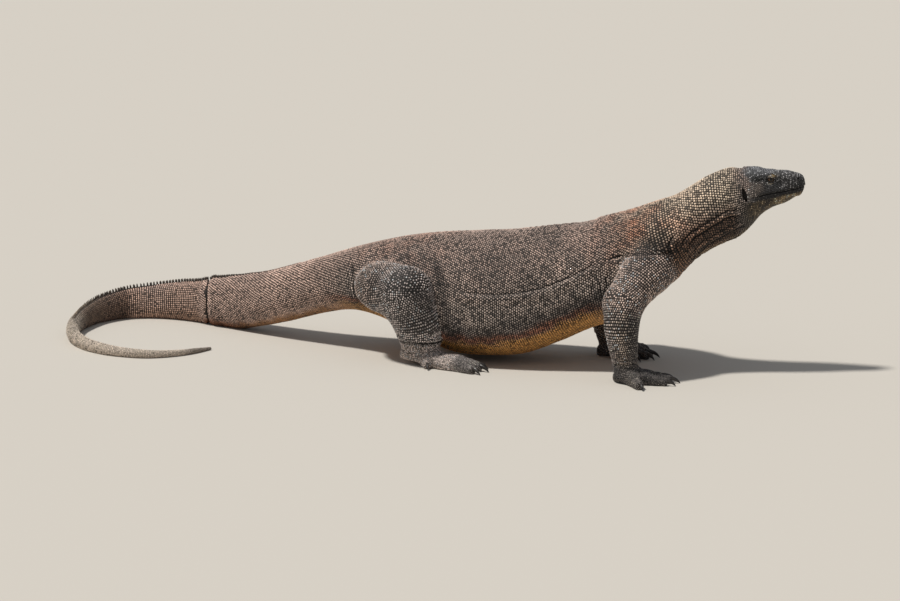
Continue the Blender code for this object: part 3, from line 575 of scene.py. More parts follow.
def sculpt(mesh, stage):
    """Presses the head's features, the folds and the tail's ring into the settled skin."""
    p, n = points_of(mesh), normals_of(mesh)
    _, which, place, a, b = shape(p)
    on_body = which == 0
    s = np.where(on_body, TAIL_END * place / 999, 9.0)
    x, z = p[:, 0], p[:, 2]
    size = body_frame(np.clip(s, 0, TAIL_END))[4]
    lateral = ramp(np.abs(a) / size[:, 0], 0.25, 0.6)
    push = np.zeros(len(p))
    if stage == "body":
        for line, high, wide, below, drop, gap in (
            (GULAR_FOLD, 0.0036, 0.0032, 0.0052, 0.0036, 0.0034),
            (THROAT_FOLD, 0.0022, 0.0030, 0.0046, 0.0022, 0.0030),
            (NECK_FOLD, 0.0030, 0.0034, 0.0052, 0.0030, 0.0034),
            (GROIN_RIDGE, 0.0030, 0.0036, 0.0062, 0.0028, 0.0040),
        ):
            far, share, hand = to_line(x, z, line)
            ends = ramp(share, 0.0, 0.12) * ramp(share, 1.0, 0.88)
            push += lateral * on_body * ends * (high * bell(far, 0, wide) - drop * bell(far * hand, below, gap) - 0.6 * drop * bell(far * hand, -below, gap))
        far, share, hand = to_line(x, z, LATERAL_FOLD)
        ends = ramp(share, 0.0, 0.10) * ramp(share, 1.0, 0.90)
        push += lateral * on_body * ends * (-0.0024 * bell(far, 0, 0.0030) + 0.0030 * bell(far * hand, -0.009, 0.008))
        far, share, hand = to_line(x, z, SHOULDER_FOLD)
        ends = ramp(share, 0.0, 0.15) * ramp(share, 1.0, 0.88) * ramp(np.abs(n[:, 1]), 0.3, 0.6) * ramp(-p[:, 1] * np.where(p[:, 1] < 0, 1, 0), 0.0, 0.05)
        push += ends * (-0.0046 * bell(far, 0, 0.0036) + 0.0024 * bell(far * hand, -0.008, 0.005))
        for line in ARMPIT_FOLDS:
            far, share, _ = to_line(x, z, line)
            push += -0.0022 * lateral * on_body * ramp(share, 0, 0.25) * ramp(share, 1, 0.75) * bell(far, 0, 0.0030)
        # slack skin of the throat runs in long, low folds
        low = ramp(-b / size[:, 2], 0.15, 0.55) * ramp(s, 0.10, 0.14) * ramp(s, at_station("chest_front"), at_station("neck_base"))
        push += 0.0010 * low * np.sin(2 * np.pi * (a + 0.15 * b) / 0.0125)
        # cross folds where the neck bends into the chest
        for middle in (at_station("neck_base", -0.012), at_station("neck_base", 0.006), at_station("chest_front", -0.002)):
            push += -0.0016 * bell(s, middle, 0.0030) * ramp(-b / size[:, 2], 0.35, 0.8)
        # the tail: a swelling, then a sharp fold, and the crest along its top
        ahead = fold_gap(p, s)
        push += 0.0018 * bell(ahead, 0.014, 0.007) - 0.0046 * bell(ahead, 0.0003, 0.0016) - 0.0016 * bell(ahead, 0.004, 0.004) + 0.0008 * bell(ahead, -0.007, 0.004)
        crest = ramp(s, at_station("vent"), at_station("tail_2")) * ramp(s, at_station("bend_out"), at_station("bend_2"))
        push += crest * 0.0016 * bell(a, 0, 0.0034) * (b > 0)
        # limbs: crease over the ankle, rings over the wrist
        for key, level in ((("right", "hind"), 0.0490), (("left", "hind"), 0.0490)):
            near = (which == FORM_ID[f"{key[0]}_hind_lower"]) | (which == FORM_ID[f"{key[0]}_hindfoot_sole"])
            front = ramp(x - np.where(p[:, 1] > 0, LEFT_HIND_SHIFT[0], 0), -0.125, -0.100)
            push += near * (-0.0046 * bell(z, level, 0.0028) + 0.0022 * bell(z, level + 0.007, 0.0038)) * (0.30 + 0.70 * front)
            push += near * -0.0010 * bell(z, level + 0.013, 0.0022)
        for side in ("right", "left"):
            near = (which == FORM_ID[f"{side}_fore_lower"]) | (which == FORM_ID[f"{side}_forefoot_sole"])
            push += near * (-0.0014 * bell(z, 0.0500, 0.0022) - 0.0012 * bell(z, 0.0410, 0.0020) + 0.0009 * bell(z, 0.0455, 0.0022))
        push += 0.0006 * lattice_noise(p, 0.028, 3) * ramp(s, 0.12, 0.2)
        p = p + n * push[:, None]
        set_points(mesh, p)
        return
    # ---------------------------------------------------------------- head
    eye_s, ear_s = EYE_S, EAR_S
    head = on_body & (s < at_station("nape"))
    gap = mouth_gap(p)
    lip = head * ramp(x, 0.5310, 0.5400)
    push += lip * (0.0007 * bell(gap, 0.0036, 0.0020) + 0.0004 * bell(gap, -0.0030, 0.0018) - 0.0024 * bell(gap, 0, 0.00085))
    push -= lip * 0.0012 * ramp(gap, 0.0, -0.0015) * ramp(gap, -0.022, -0.008)
    push -= head * 0.0012 * bell(x, 0.5290, 0.0035) * bell(gap, -0.001, 0.004)      # corner of the mouth
    up = b / size[:, 1]
    wide = np.abs(a)
    push += head * 0.0024 * bell(s, eye_s - 0.001, 0.0125) * bell(b, 0.0345, 0.0042) * ramp(wide, 0.012, 0.020)   # brow
    push += head * 0.0009 * ramp(s, eye_s, eye_s - 0.012) * ramp(s, 0.002, 0.010) * bell(up, 0.74, 0.13) * ramp(wide, 0.008, 0.014)  # edge of the snout
    push -= head * 0.0017 * bell(s, eye_s - 0.021, 0.011) * bell(b, 0.0150, 0.0070) * ramp(wide, 0.012, 0.02)     # hollow before the eye
    push += head * 0.0022 * bell(s, eye_s + 0.034, 0.0130) * bell(b, 0.0010, 0.0160) * ramp(wide, 0.015, 0.03)    # jaw muscle
    push -= head * 0.0014 * bell(s, eye_s + 0.021, 0.0130) * bell(b, 0.0270, 0.0042) * ramp(wide, 0.015, 0.03)    # hollow behind the eye
    push += head * 0.0012 * bell(s, eye_s + 0.026, 0.0160) * bell(b, 0.0385, 0.0050) * ramp(wide, 0.012, 0.02)    # edge of the crown
    push -= head * 0.0008 * bell(a, 0, 0.0050) * (b > 0) * ramp(s, 0.010, 0.030) * ramp(s, ear_s, ear_s - 0.02)   # furrow of the crown
    push -= on_body * 0.0032 * ramp(s, ear_s + 0.0005, ear_s + 0.0045) * ramp(s, ear_s + 0.026, ear_s + 0.010) * ramp(up, 0.50, 0.85)   # step behind the crown
    push -= head * 0.0018 * bell(s, eye_s + 0.015, 0.0075) * ramp(up, 0.70, 0.92)                                 # dip of the forehead
    push += head * 0.0013 * bell(s, ear_s + 0.010, 0.0060) * bell(b, 0.006, 0.018) * ramp(wide, 0.02, 0.035)      # rim behind the ear
    push -= head * 0.0010 * bell(s, eye_s + 0.047, 0.0035) * bell(b, -0.020, 0.014) * ramp(wide, 0.015, 0.03)     # behind the jaw
    push += head * 0.0002 * lattice_noise(p, 0.004, 5)
    p = p + n * push[:, None]
    for side in (-1, 1):
        # the nostril's pit in its low swelling
        d = p - NOSTRILS[side]
        q = np.sqrt(((d @ NOSE_F) / 0.0030) ** 2 + ((d @ NOSE_U) / 0.0021) ** 2 + ((d @ NOSE_L) / 0.0060) ** 2)
        rim = 0.0007 * bell(q, 1.45, 0.5) - 0.0030 * ramp(q, 1.05, 0.55)
        p = p + n * (rim * head)[:, None]
        # the ear, an upright slot
        d = p - EARS[side]
        out = EAR_L * side
        q = np.sqrt(((d @ EAR_F + 0.20 * (d @ EAR_U)) / (0.0042 * (1 - 0.35 * ramp(d @ EAR_U, 0.0, 0.0145)))) ** 2 + ((d @ EAR_U) / 0.0145) ** 2)
        here = (q < 1.6) & ((d @ out) > -0.02) & on_body
        p = p - out * (np.where(here, 0.0085 * ramp(q, 1.08, 0.62) - 0.0006 * bell(q, 1.3, 0.2), 0))[:, None]
        # the eye: lids over the ball, an opening between them, and the folds round them
        d = p - EYE_AT[side]
        out = EYE_L * side
        fx, vy, oy = d @ EYE_F, d @ EYE_U, d @ out
        r = np.hypot(fx, vy)
        here = (r < 0.018) & (oy > -0.015) & head
        lid = np.sqrt(np.maximum((EYE_RADIUS + 0.0011) ** 2 - r * r, 0))
        over = ramp(r, 0.0135, 0.0070)
        target = oy * (1 - over) + np.maximum(lid, oy - 0.002) * over
        target = target + 0.0008 * bell(r, 0.0118, 0.0016) * ramp(vy, 0.004, -0.004) + 0.0010 * bell(r, 0.0112, 0.0018) * ramp(vy, 0.0, 0.006) - 0.0009 * bell(r, 0.0092, 0.0009)
        high = np.where(vy > 0, 0.0039, 0.0036) * np.sqrt(np.maximum(1 - (np.abs(fx) / 0.0067) ** 2.0, 0)) + 1e-5
        q = np.abs(vy) / high
        ball = np.sqrt(np.maximum(EYE_RADIUS**2 - r * r, 0))
        rolled = 0.0005 * bell(q, 1.25, 0.18) * (np.abs(fx) < 0.0075)
        opened = ramp(q, 1.06, 0.90) * (np.abs(fx) < 0.0067)
        target = (target + rolled) * (1 - opened) + (ball - 0.0026) * opened
        p = p + out * np.where(here, target - oy, 0)[:, None]
    set_points(mesh, p)


def make_skin():
    mesh = voxelled(FORMS, 0.0042)
    settle(mesh, 4)
    c = centres_of(mesh)
    _, which, place, a, b = shape(c)
    s = np.where(which == 0, TAIL_END * place / 999, 9.0)
    chosen = (s < at_station("nape")) | (which > 8) | ((s < 8) & (s > at_station("bend_2"))) | (np.abs(fold_gap(c, s)) < 0.016)
    refined(mesh, chosen)
    settle(mesh, 2)
    sculpt(mesh, "body")
    c = centres_of(mesh)
    s = body_place(c)
    refined(mesh, (s < at_station("ear", 0.012)))
    relax(mesh, s_limit=at_station("ear", 0.03))
    c = centres_of(mesh)
    s = body_place(c)
    near = np.zeros(len(c), bool)
    for side in (-1, 1):
        near |= np.linalg.norm(c - EYE_AT[side], axis=1) < 0.0145
        near |= np.linalg.norm(c - EARS[side], axis=1) < 0.0165
        near |= np.linalg.norm(c - NOSTRILS[side], axis=1) < 0.006
    near |= (s < at_station("temple", 0.004)) & (np.abs(mouth_gap(c)) < 0.0030)
    refined(mesh, near)
    c = centres_of(mesh)
    near = np.zeros(len(c), bool)
    for side in (-1, 1):
        near |= np.linalg.norm(c - EYE_AT[side], axis=1) < 0.0120
    refined(mesh, near)
    sculpt(mesh, "head")
    holder = bpy.data.objects.new("skin", mesh)
    mesh.name = "skin"
    bpy.context.scene.collection.objects.link(holder)
    mesh.polygons.foreach_set("use_smooth", np.ones(len(mesh.polygons), bool))
    return holder


def body_place(c):
    """Length along the body, or 9 where another form is nearer."""
    _, which, place, _, _ = shape(c)
    return np.where(which == 0, TAIL_END * place / 999, 9.0)


def relax(mesh, s_limit):
    """Two light smoothing passes over the head."""
    p, edges = points_of(mesh), edges_of(mesh)
    s = body_place(p)
    weight = (0.5 * ramp(s, s_limit, s_limit - 0.02))[:, None]
    tip = (0.5 * ramp(s, 0.022, 0.008))[:, None]
    for k in range(16):
        p = p + (weight if k < 2 else tip) * (averaged(p, edges, len(p)) - p)
    set_points(mesh, p)


# ------------------------------------------------------------------ markings, with painted shade and highlights
def srgb(r, g, b):
    c = np.array([r, g, b]) / 255.0
    return np.where(c <= 0.04045, c / 12.92, ((c + 0.055) / 1.055) ** 2.4)


CREAM, TAUPE, PINKISH = srgb(212, 193, 170), srgb(176, 160, 149), srgb(188, 158, 143)
RUST, OCHRE, UMBER = srgb(188, 118, 84), srgb(196, 138, 78), srgb(110, 82, 62)
SLATE, BLUE_GREY, COAL = srgb(112, 110, 110), srgb(138, 138, 142), srgb(40, 37, 36)
SAND, TAN, OLIVE = srgb(206, 192, 170), srgb(178, 154, 118), srgb(128, 122, 98)


def markings_and_painted_shade(p, s, h, which, inner, normal_x):
    """The hide's colour at points, with painted shade in creases and hollows and a few painted highlights: s is the
    length along the body, h runs from -1 below to 1 above.
    """
    st = at_station
    body = which == 0
    mottle = lattice_noise(p, 0.020, 21)
    blotch = lattice_noise(p, 0.055, 22)
    fine = lattice_noise(p, 0.007, 23)
    n = len(p)

    def lay(tone, colour, weight):
        return blend(tone, np.tile(colour, (n, 1)), np.clip(weight, 0, 1))

    tone = np.tile(TAUPE, (n, 1))
    # back and flanks: pinkish above, greyer and darker low on the flank
    tone = lay(tone, PINKISH, 0.55 * ramp(h, 0.0, 0.8) + 0.15 * mottle * (h > 0))
    tone = lay(tone, SLATE, 0.55 * ramp(h + 0.10 * mottle, 0.00, -0.38))
    neck = ramp(s, st("ear", 0.000), st("nape", 0.006)) * ramp(s, st("axilla", 0.03), st("chest_front", -0.01))
    tone = lay(tone, CREAM * 1.14, neck * ramp(h, -0.45, 0.45) * 0.92)
    tone = lay(tone, UMBER, neck * ramp(h + 0.08 * mottle, 0.40, -0.32) * 0.88)
    rust = bell(s, st("shoulder", 0.0), 0.085) * ramp(h, 0.0, 0.55) + 0.55 * bell(s, st("neck_base", -0.01), 0.04) * bell(h, 0.1, 0.5)
    tone = lay(tone, blendc(RUST, UMBER, 0.12), 0.44 * rust * (1 + 0.9 * mottle))
    tone = lay(tone, RUST, 0.16 * bell(s, st("pelvis"), 0.10) * ramp(h, 0.1, 0.7) * (1 + mottle))
    throat = ramp(s, st("temple"), st("ear")) * ramp(s, st("neck_base", 0.01), st("mid_neck"))
    tone = lay(tone, TAN * 0.85, throat * ramp(h + 0.10 * mottle, -0.84, -0.98) * 0.85)
    chest = ramp(s, st("neck_base", -0.01), st("chest_front")) * ramp(s, st("fore_chest"), st("axilla"))
    tone = lay(tone, blendc(RUST, TAN, 0.45) * 0.75, chest * ramp(h + 0.1 * mottle, -0.30, -0.65) * 0.8)
    # belly, ochre with dark specks
    belly = ramp(s, st("axilla"), st("fore_chest")) * ramp(s, st("tail_root"), st("vent"))
    line = -0.50
    under = belly * ramp(h + 0.07 * mottle, line, line - 0.16)
    tone = lay(tone, RUST * 0.84, belly * 0.80 * bell(h + 0.06 * mottle, line + 0.02, 0.10))
    warm = 2.2 - 1.3 * ramp(s, st("flank"), st("vent"))
    tone = blend(tone, OCHRE * np.array([1.0, 1.10, 1.08]) * warm[:, None], np.clip(under * 0.92, 0, 1))
    # tail: warm beads, ochre beneath as far as the fold, pale and sandy past the bend
    tail = ramp(s, st("hip"), st("tail_root"))
    tone = lay(tone, PINKISH * np.array([1.52, 1.55, 1.56]), tail * 0.85)
    tone = lay(tone, OCHRE * 0.75, tail * ramp(s, FOLD_AT + 0.004, FOLD_AT - 0.01) * ramp(h + 0.1 * mottle, -0.62, -0.92) * 0.85)
    tone = lay(tone, RUST * 0.55, 0.85 * ramp(s, FOLD_AT - 0.17, FOLD_AT - 0.06) * ramp(s, FOLD_AT + 0.004, FOLD_AT - 0.004) * ramp(h + 0.1 * mottle, -0.45, -0.85))
    ringed = ramp(s, FOLD_AT, FOLD_AT + 0.01) * ramp(s, st("bend_1"), st("bend_in"))
    tone = lay(tone, UMBER * 2.0, ringed * (0.10 + 0.25 * blotch) + 0.30 * ringed * ramp(h, -0.1, -0.7))
    tone = tone * (1 + 0.75 * body * ramp(s, st("tail_4", -0.03), st("bend_1")) * ramp(s, st("bend_2"), st("bend_in")))[:, None]
    far = ramp(s, st("bend_in"), st("bend_2"))
    tone = lay(tone, SAND * 1.40 * np.array([1.0, 1.0, 1.08]), far * 0.9)
    tone = tone * (1 + body * np.interp(s, [st("bend_in"), st("bend_2"), st("bend_out"), st("tail_7"), st("tail_8"), st("tail_10")], [0.0, -0.30, -0.30, 0.84, 1.30, 0.20]))[:, None]
    tone = lay(tone, OLIVE, far * 0.30 * ramp(mottle + 0.6 * fine, 0.15, 0.5))
    # painted shade on the inner side of the tail's bend
    inside = body * ramp(s, st("tail_5", 0.03), st("bend_in")) * ramp(s, st("bend_3"), st("bend_2")) * ramp(-inner, -0.1, 0.5)
    tone = lay(tone, UMBER * 1.0, inside * 0.8)
    tone = lay(tone, COAL, ramp(s, st("tail_8"), st("tail_10")) * 0.55)
    # head: slate above, coal along the lips and round the eye, tan under the jaw
    head = body * ramp(s + 0.010 * mottle + 0.006 * fine, st("ear", 0.012), st("ear", -0.018))
    tone = lay(tone, SLATE, head)
    tone = lay(tone, COAL * 1.2, head * 0.68 * ramp(h + 0.12 * mottle, 0.80, 0.42))
    # painted sheen: the crown behind the eye paler and bluer, as if lit by the sky
    tone = lay(tone, BLUE_GREY * 1.05, head * 0.75 * ramp(h, 0.60, 0.90) * ramp(s, st("eye", -0.010), st("eye", 0.012)))
    tone = lay(tone, COAL * 1.6, head * 0.45 * ramp(s, st("eye", -0.004), st("eye", -0.016)))
    gap = mouth_gap(p)
    front = body * ramp(p[:, 0], 0.528, 0.545)
    cheek = head * ramp(s, st("eye", 0.010), st("temple")) * ramp(gap, -0.006, 0.004) * ramp(h, 0.62, 0.40)
    tone = lay(tone, TAUPE * 0.55, cheek * 0.8)
    tone = lay(tone, COAL, front * 0.85 * ramp(gap, 0.010, 0.004) * ramp(gap, -0.0115, -0.0065))
    jaw = body * ramp(p[:, 0], 0.500, 0.530) * ramp(gap + 0.002 * mottle, -0.007, -0.0115)
    forward = ramp(p[:, 0] + 0.004 * mottle, 0.556, 0.580)[:, None]
    tone = blend(tone, TAN * (0.34 + 0.80 * forward), np.clip(jaw * 0.92, 0, 1))
    tone = lay(tone, COAL, jaw * 0.7 * ramp(fine + 0.4 * mottle, 0.05, 0.45))
    for side in (-1, 1):
        d = p - EYE_AT[side]
        fx, vy = d @ EYE_F, d @ EYE_U
        close = np.linalg.norm(d, axis=1)
        tone = lay(tone, COAL * 0.6, head * 0.85 * (close < 0.045) * bell(vy, -0.0010, 0.0085) * bell(fx, 0.002, 0.023))
        tone = lay(tone, COAL * 0.40, head * 0.92 * (close < 0.060) * bell(vy, 0.0012, 0.0048) * ramp(fx, -0.004, -0.008) * ramp(fx, -0.040, -0.024))
        # painted shade in the crease in front of the eye
        tone = lay(tone, COAL * 0.45, head * 0.80 * (close < 0.045) * bell(fx, 0.0170, 0.0036) * bell(vy, 0.0020, 0.0095))
        tone = lay(tone, BLUE_GREY * 0.26, head * 0.85 * (close < 0.045) * bell(vy, -0.0135, 0.0060) * bell(fx, 0.006, 0.014))
        tone = tone * (1 - 0.50 * head * (close < 0.060) * bell(fx, -0.033, 0.017) * bell(vy, 0.005, 0.009))[:, None]
        tone = lay(tone, srgb(160, 134, 84), head * 0.90 * (close < 0.03) * bell(fx, 0.0025, 0.0070) * bell(vy, 0.0072, 0.0026) * ramp(fine, -0.45, 0.25))
        tone = lay(tone, COAL * 0.5, head * (close < 0.02) * ramp(np.hypot(fx / 0.0076, vy / 0.0050), 1.15, 0.95) * 0.95)
        tone = lay(tone, SAND * 1.1, head * (close < 0.02) * bell(np.hypot(fx, vy), 0.0088, 0.0012) * ramp(vy, -0.004, -0.007) * bell(fx, -0.001, 0.0050))
    # legs: the trunk's colour at the top, blue-grey and slate lower down, browner on the forelegs
    z = p[:, 2]
    for name, forms in LIMBS.items():
        mine = (which == FORM_ID[forms[0].name]) | (which == FORM_ID[forms[1].name])
        mine |= (which >= FORM_ID[FEET[name][0].name]) & (which <= FORM_ID[FEET[name][-1].name])
        if name[1] == "fore":
            colour = np.tile(blendc(TAUPE, PINKISH, 0.3) * 1.60, (n, 1))
            colour = lay(colour, SLATE * 1.45, 0.60 * ramp(z + 0.02 * mottle, 0.175, 0.120))
            colour = lay(colour, blendc(TAN, TAUPE, 0.5) * 1.5, 0.35 * ramp(blotch + 0.4 * fine, 0.0, 0.6) * ramp(z, 0.20, 0.15))
            # painted shade: the forward-facing side of the forearm, turned from the light, is darker
            colour = lay(colour, SLATE * 0.45, 0.75 * ramp(z, 0.150, 0.120) * ramp(z, 0.030, 0.050) * ramp(normal_x, 0.25, 0.75))
            colour = lay(colour, SLATE * 0.48, 0.78 * ramp(z, 0.055, 0.030))
        else:
            back = ramp(p[:, 0] + 0.02 * mottle, -0.165, -0.240)
            colour = np.tile(blendc(TAUPE, PINKISH, 0.30) * 1.25, (n, 1))
            colour = lay(colour, blendc(TAUPE, BLUE_GREY, 0.45) * 1.6, 0.85 * ramp(z + 0.02 * mottle, 0.225, 0.185) * (1 - back))
            colour = lay(colour, blendc(TAUPE, BLUE_GREY, 0.45) * 2.1, 0.85 * ramp(z, 0.135, 0.105) * ramp(z, 0.045, 0.055))
            colour = lay(colour, blendc(TAUPE, BLUE_GREY, 0.20) * 2.4, 0.75 * ramp(z, 0.050, 0.035))
            colour = lay(colour, SLATE * 0.9, 0.7 * ramp(p[:, 0], -0.055, -0.030) * ramp(z, 0.050, 0.035))
            # painted shade: a dark line in the crease over the ankle
            colour = lay(colour, COAL, 0.80 * bell(z, 0.0490, 0.0034))
        colour = colour * (1 + 0.16 * mottle[:, None])
        tone = np.where(mine[:, None], colour, tone)
    tone = tone * (1 - 0.36 * bell(s, st("shoulder", 0.010), 0.05) * bell(h, -0.05, 0.30) * body)[:, None]
    # painted shade: a dark patch on the shoulder above the upper arm
    tone = tone * (1 - 0.60 * bell(p[:, 0], 0.335, 0.036) * bell(z, 0.262, 0.021))[:, None]
    tone = tone * (1 - 0.26 * bell(s, st("ear", 0.022), 0.028) * ramp(h, 0.80, 0.35) * body)[:, None]
    tone = tone * (1 - 0.13 * ramp(s, st("mid_neck"), st("neck_base")) * ramp(s, st("mid_trunk"), st("ribs")) * ramp(h, 0.3, 0.9) * body)[:, None]
    shade = ramp(s, st("ribs"), st("fore_chest")) * ramp(s, st("shoulder"), st("axilla")) * bell(h, -0.28, 0.24)
    tone = tone * (1 + 0.18 * mottle + 0.24 * blotch - 0.42 * shade)[:, None]
    # painted shade along the folds of the skin and in front of the thigh; on the ridges of the throat, neck and groin,
    # a painted highlight along each crest with painted shade on both sides
    side_on = body & (np.abs(h) < 0.95)
    for line, wide, dark in ((LATERAL_FOLD, 0.0026, 0.42), (GULAR_FOLD, 0.0024, 0.0), (NECK_FOLD, 0.0022, 0.0), (THROAT_FOLD, 0.0020, 0.0),
                             (THIGH_SHADE, 0.0115, 0.62), (GROIN_RIDGE, 0.0026, 0.0), (SHOULDER_FOLD, 0.0030, 0.55), *((f, 0.0026, 0.2) for f in ARMPIT_FOLDS)):
        far, share, hand = to_line(p[:, 0], p[:, 2], line)
        ends = (side_on | (which == FORM_ID["right_fore_upper"]) | (which == FORM_ID["left_fore_upper"]) if line is SHOULDER_FOLD else side_on) * ramp(share, 0.0, 0.10) * ramp(share, 1.0, 0.90)
        if dark:
            tone = tone * (1 - dark * ends * bell(far, 0, wide))[:, None]
        else:
            tone = tone * (1 + 1.3 * ends * bell(far, 0, wide) - 0.70 * ends * bell(far * hand, 0.0052, 0.0030) - 0.45 * ends * bell(far * hand, -0.0056, 0.0028))[:, None]
    # painted shade in the tail's fold
    groove = body * bell(fold_gap(p, s), 0.0, 0.0019)
    tone = tone * (1 - 0.75 * groove)[:, None]
    tone = tone * np.minimum(1, 0.86 / tone.max(axis=1))[:, None]
    return np.clip(tone, 0.004, 0.86)


def soften_roots(tone, p, which):
    """A limb takes the trunk's colour where it leaves it."""
    body = np.flatnonzero(which == 0)
    tree = tree_of(p[body])
    uppers = [FORM_ID[forms[0].name] for forms in LIMBS.values()]
    out = tone.copy()
    for k in np.flatnonzero(np.isin(which, uppers) & (p[:, 2] > 0.10)):
        found = tree.find_n(p[k], 6)
        weight = 0.9 * float(ramp(found[0][2], 0.026, 0.001))
        if weight > 0:
            out[k] = tone[k] * (1 - weight) + weight * tone[body[[i for _, i, _ in found]]].mean(axis=0)
    return out


def blendc(a, b, w):
    return a * (1 - w) + b * w


# ------------------------------------------------------------------ scales
def pitches(s):
    """Spacing of the scales along and around the body at length s."""
    names = ["snout", "eye", "temple", "ear", "nape", "mid_neck", "shoulder", "mid_trunk", "vent", "tail_2", "fold_front", "tail_4", "bend_in", "bend_2", "bend_out", "tail_7", "tail_tip"]
    along = [3.2, 3.2, 3.3, 3.8, 4.8, 5.4, 5.4, 5.0, 5.0, 5.2, 5.2, 5.4, 5.2, 4.6, 4.2, 3.8, 3.0]
    around = [3.2, 3.2, 3.3, 3.8, 5.0, 5.6, 5.6, 5.2, 5.2, 5.2, 5.0, 4.4, 3.9, 3.4, 3.0, 2.7, 2.2]
    at = [at_station(n) for n in names]
    if FOLD_AT - 0.001 < s < at_station("tail_7"):      # tall scales in plain rings
        return np.interp(s, at, along) / 1000, np.interp(s, at, around) / 1000, 0.0, 1.0
    return np.interp(s, at, along) / 1000, np.interp(s, at, around) / 1000, 0.5, 0.88


def rings_of_scales(form, start, stop, spacing):
    """Places for scales in rings round a form, spaced from the middle of its upper side."""
    angle = np.linspace(0.5 * np.pi, -0.5 * np.pi, 91)
    out = []
    r, k = start, 0
    while r < stop:
        t = np.interp(r, form.run, np.arange(len(form.run)))
        row = form.row(np.array([t]))[0]
        i = int(min(t, len(form.rows) - 2))
        back = unit(form.rows[i + 1, :3] - form.rows[i, :3])
        pa, pw, stagger, row_step = spacing(r)
        c, s_ = np.cos(angle), np.sin(angle)
        power = np.where(s_ >= 0, row[15], row[16])
        across = np.abs(c) ** (2 / power) * row[12]
        rise = np.sign(s_) * np.abs(s_) ** (2 / power) * np.where(s_ >= 0, row[13], row[14])
        arc = np.concatenate([[0], np.cumsum(np.hypot(np.diff(across), np.diff(rise)))])
        w = (np.arange(0, int(arc[-1] / pw) + 1) + stagger * (k % 2)) * pw
        w = w[w < arc[-1] - 0.25 * pw]
        ac, ri = np.interp(w, arc, across), np.interp(w, arc, rise)
        for hand in (1, -1):
            keep = (w > 0) | (hand == 1)
            n = keep.sum()
            at = row[:3] + hand * ac[keep, None] * row[3:6] + ri[keep, None] * row[6:9]
            out.append(np.column_stack([at, np.tile(back, (n, 1)), np.full(n, pa), np.full(n, pw), np.full(n, r), hand * w[keep],
                                        np.full(n, FORM_ID[form.name]), hand * w[keep] / arc[-1]]))
        r += pa * row_step
        k += 1
    return np.concatenate(out)


def seed_scales():
    """Every scale's place on the bare forms: position, lie, spacing, and where it is in rows and columns."""
    seeds = [rings_of_scales(BODY_FORM, 0.001, BODY_FORM.run[-1] - 0.002, lambda r: pitches(r))]
    cap = []    # the rounded end of the snout has a fan of its own
    centre, forward, left, up, size = (v[0] for v in body_frame([0.0]))
    for k, turn in enumerate(np.radians([76, 62, 49, 36, 24, 12, 0])):
        n = max(1, int(2 * np.pi * size[0] * math.cos(turn) ** 0.8 / 0.0031))
        angle = 2 * np.pi * (np.arange(n) + 0.5 * (k % 2)) / n
        scale = math.cos(turn) ** 0.8
        reach = np.where(np.sin(angle) >= 0, size[1], size[2])
        at = centre + forward * SNOUT_CAP * math.sin(turn) + scale * (np.cos(angle)[:, None] * size[0] * left + (np.sin(angle) * reach)[:, None] * up)
        cap.append(np.column_stack([at, np.tile(-forward, (n, 1)), np.full(n, 0.0030), np.full(n, 0.0031), np.full(n, -0.003 * (7 - k)), angle * 0.02,
                                    np.zeros(n), (angle / np.pi + 0.5) % 2 - 1]))
    seeds += cap
    for key, (upper, lower) in LIMBS.items():
        big = (0.0050, 0.0050) if key[1] == "hind" else (0.0050, 0.0047)
        seeds.append(rings_of_scales(upper, 0.0, upper.run[-1] + 0.0, lambda r: (*big, 0.5, 0.88)))
        end = lower.run[-1]
        seeds.append(rings_of_scales(lower, 0.0, end, lambda r: (blendc(big[0], 0.0034, float(ramp(r, end * 0.45, end * 0.85))), blendc(big[1], 0.0034, float(ramp(r, end * 0.45, end * 0.85))), 0.5, 0.88)))
        sole, *toes = FEET[key]
        seeds.append(rings_of_scales(sole, 0.0, sole.run[-1], lambda r: (0.0034, 0.0034, 0.5, 0.88)))
        for toe in toes:
            seeds.append(rings_of_scales(toe, 0.004, toe.run[-1] + 0.0005, lambda r: (0.0031, 0.0030, 0.5, 0.88)))
    return np.concatenate(seeds)


def bare_places(at, on_body):
    """Where no scale grows: the eyes' openings, the ears, the nostrils, the mouth's line, and under the soles."""
    gap = mouth_gap(at)
    bare = on_body & (at[:, 0] > 0.5315) & (np.abs(gap) < 0.0010)
    for side in (-1, 1):
        d = at - EYE_AT[side]
        fx, vy = d @ EYE_F, d @ EYE_U
        bare |= (np.linalg.norm(d, axis=1) < 0.014) & ((fx / 0.0073) ** 2 + (vy / 0.0045) ** 2 < 1)
        d = at - EARS[side]
        q = ((d @ EAR_F + 0.20 * (d @ EAR_U)) / 0.0044) ** 2 + ((d @ EAR_U) / 0.0150) ** 2
        bare |= (q < 1) & (np.linalg.norm(d, axis=1) < 0.03)
        bare |= np.linalg.norm(at - NOSTRILS[side], axis=1) < 0.0026
    return bare | (at[:, 2] < 0.0006)


def tree_of(points):
    tree = KDTree(len(points))
    for k, q in enumerate(points):
        tree.insert(q, k)
    tree.balance()
    return tree


def thinned(at, reach):
    """Which points stay when each one removes the later ones within its reach."""
    tree = tree_of(at)
    alive = np.ones(len(at), bool)
    for k in range(len(at)):
        if alive[k]:
            for _, j, _ in tree.find_range(at[k], reach[k]):
                if j > k:
                    alive[j] = False
    return alive


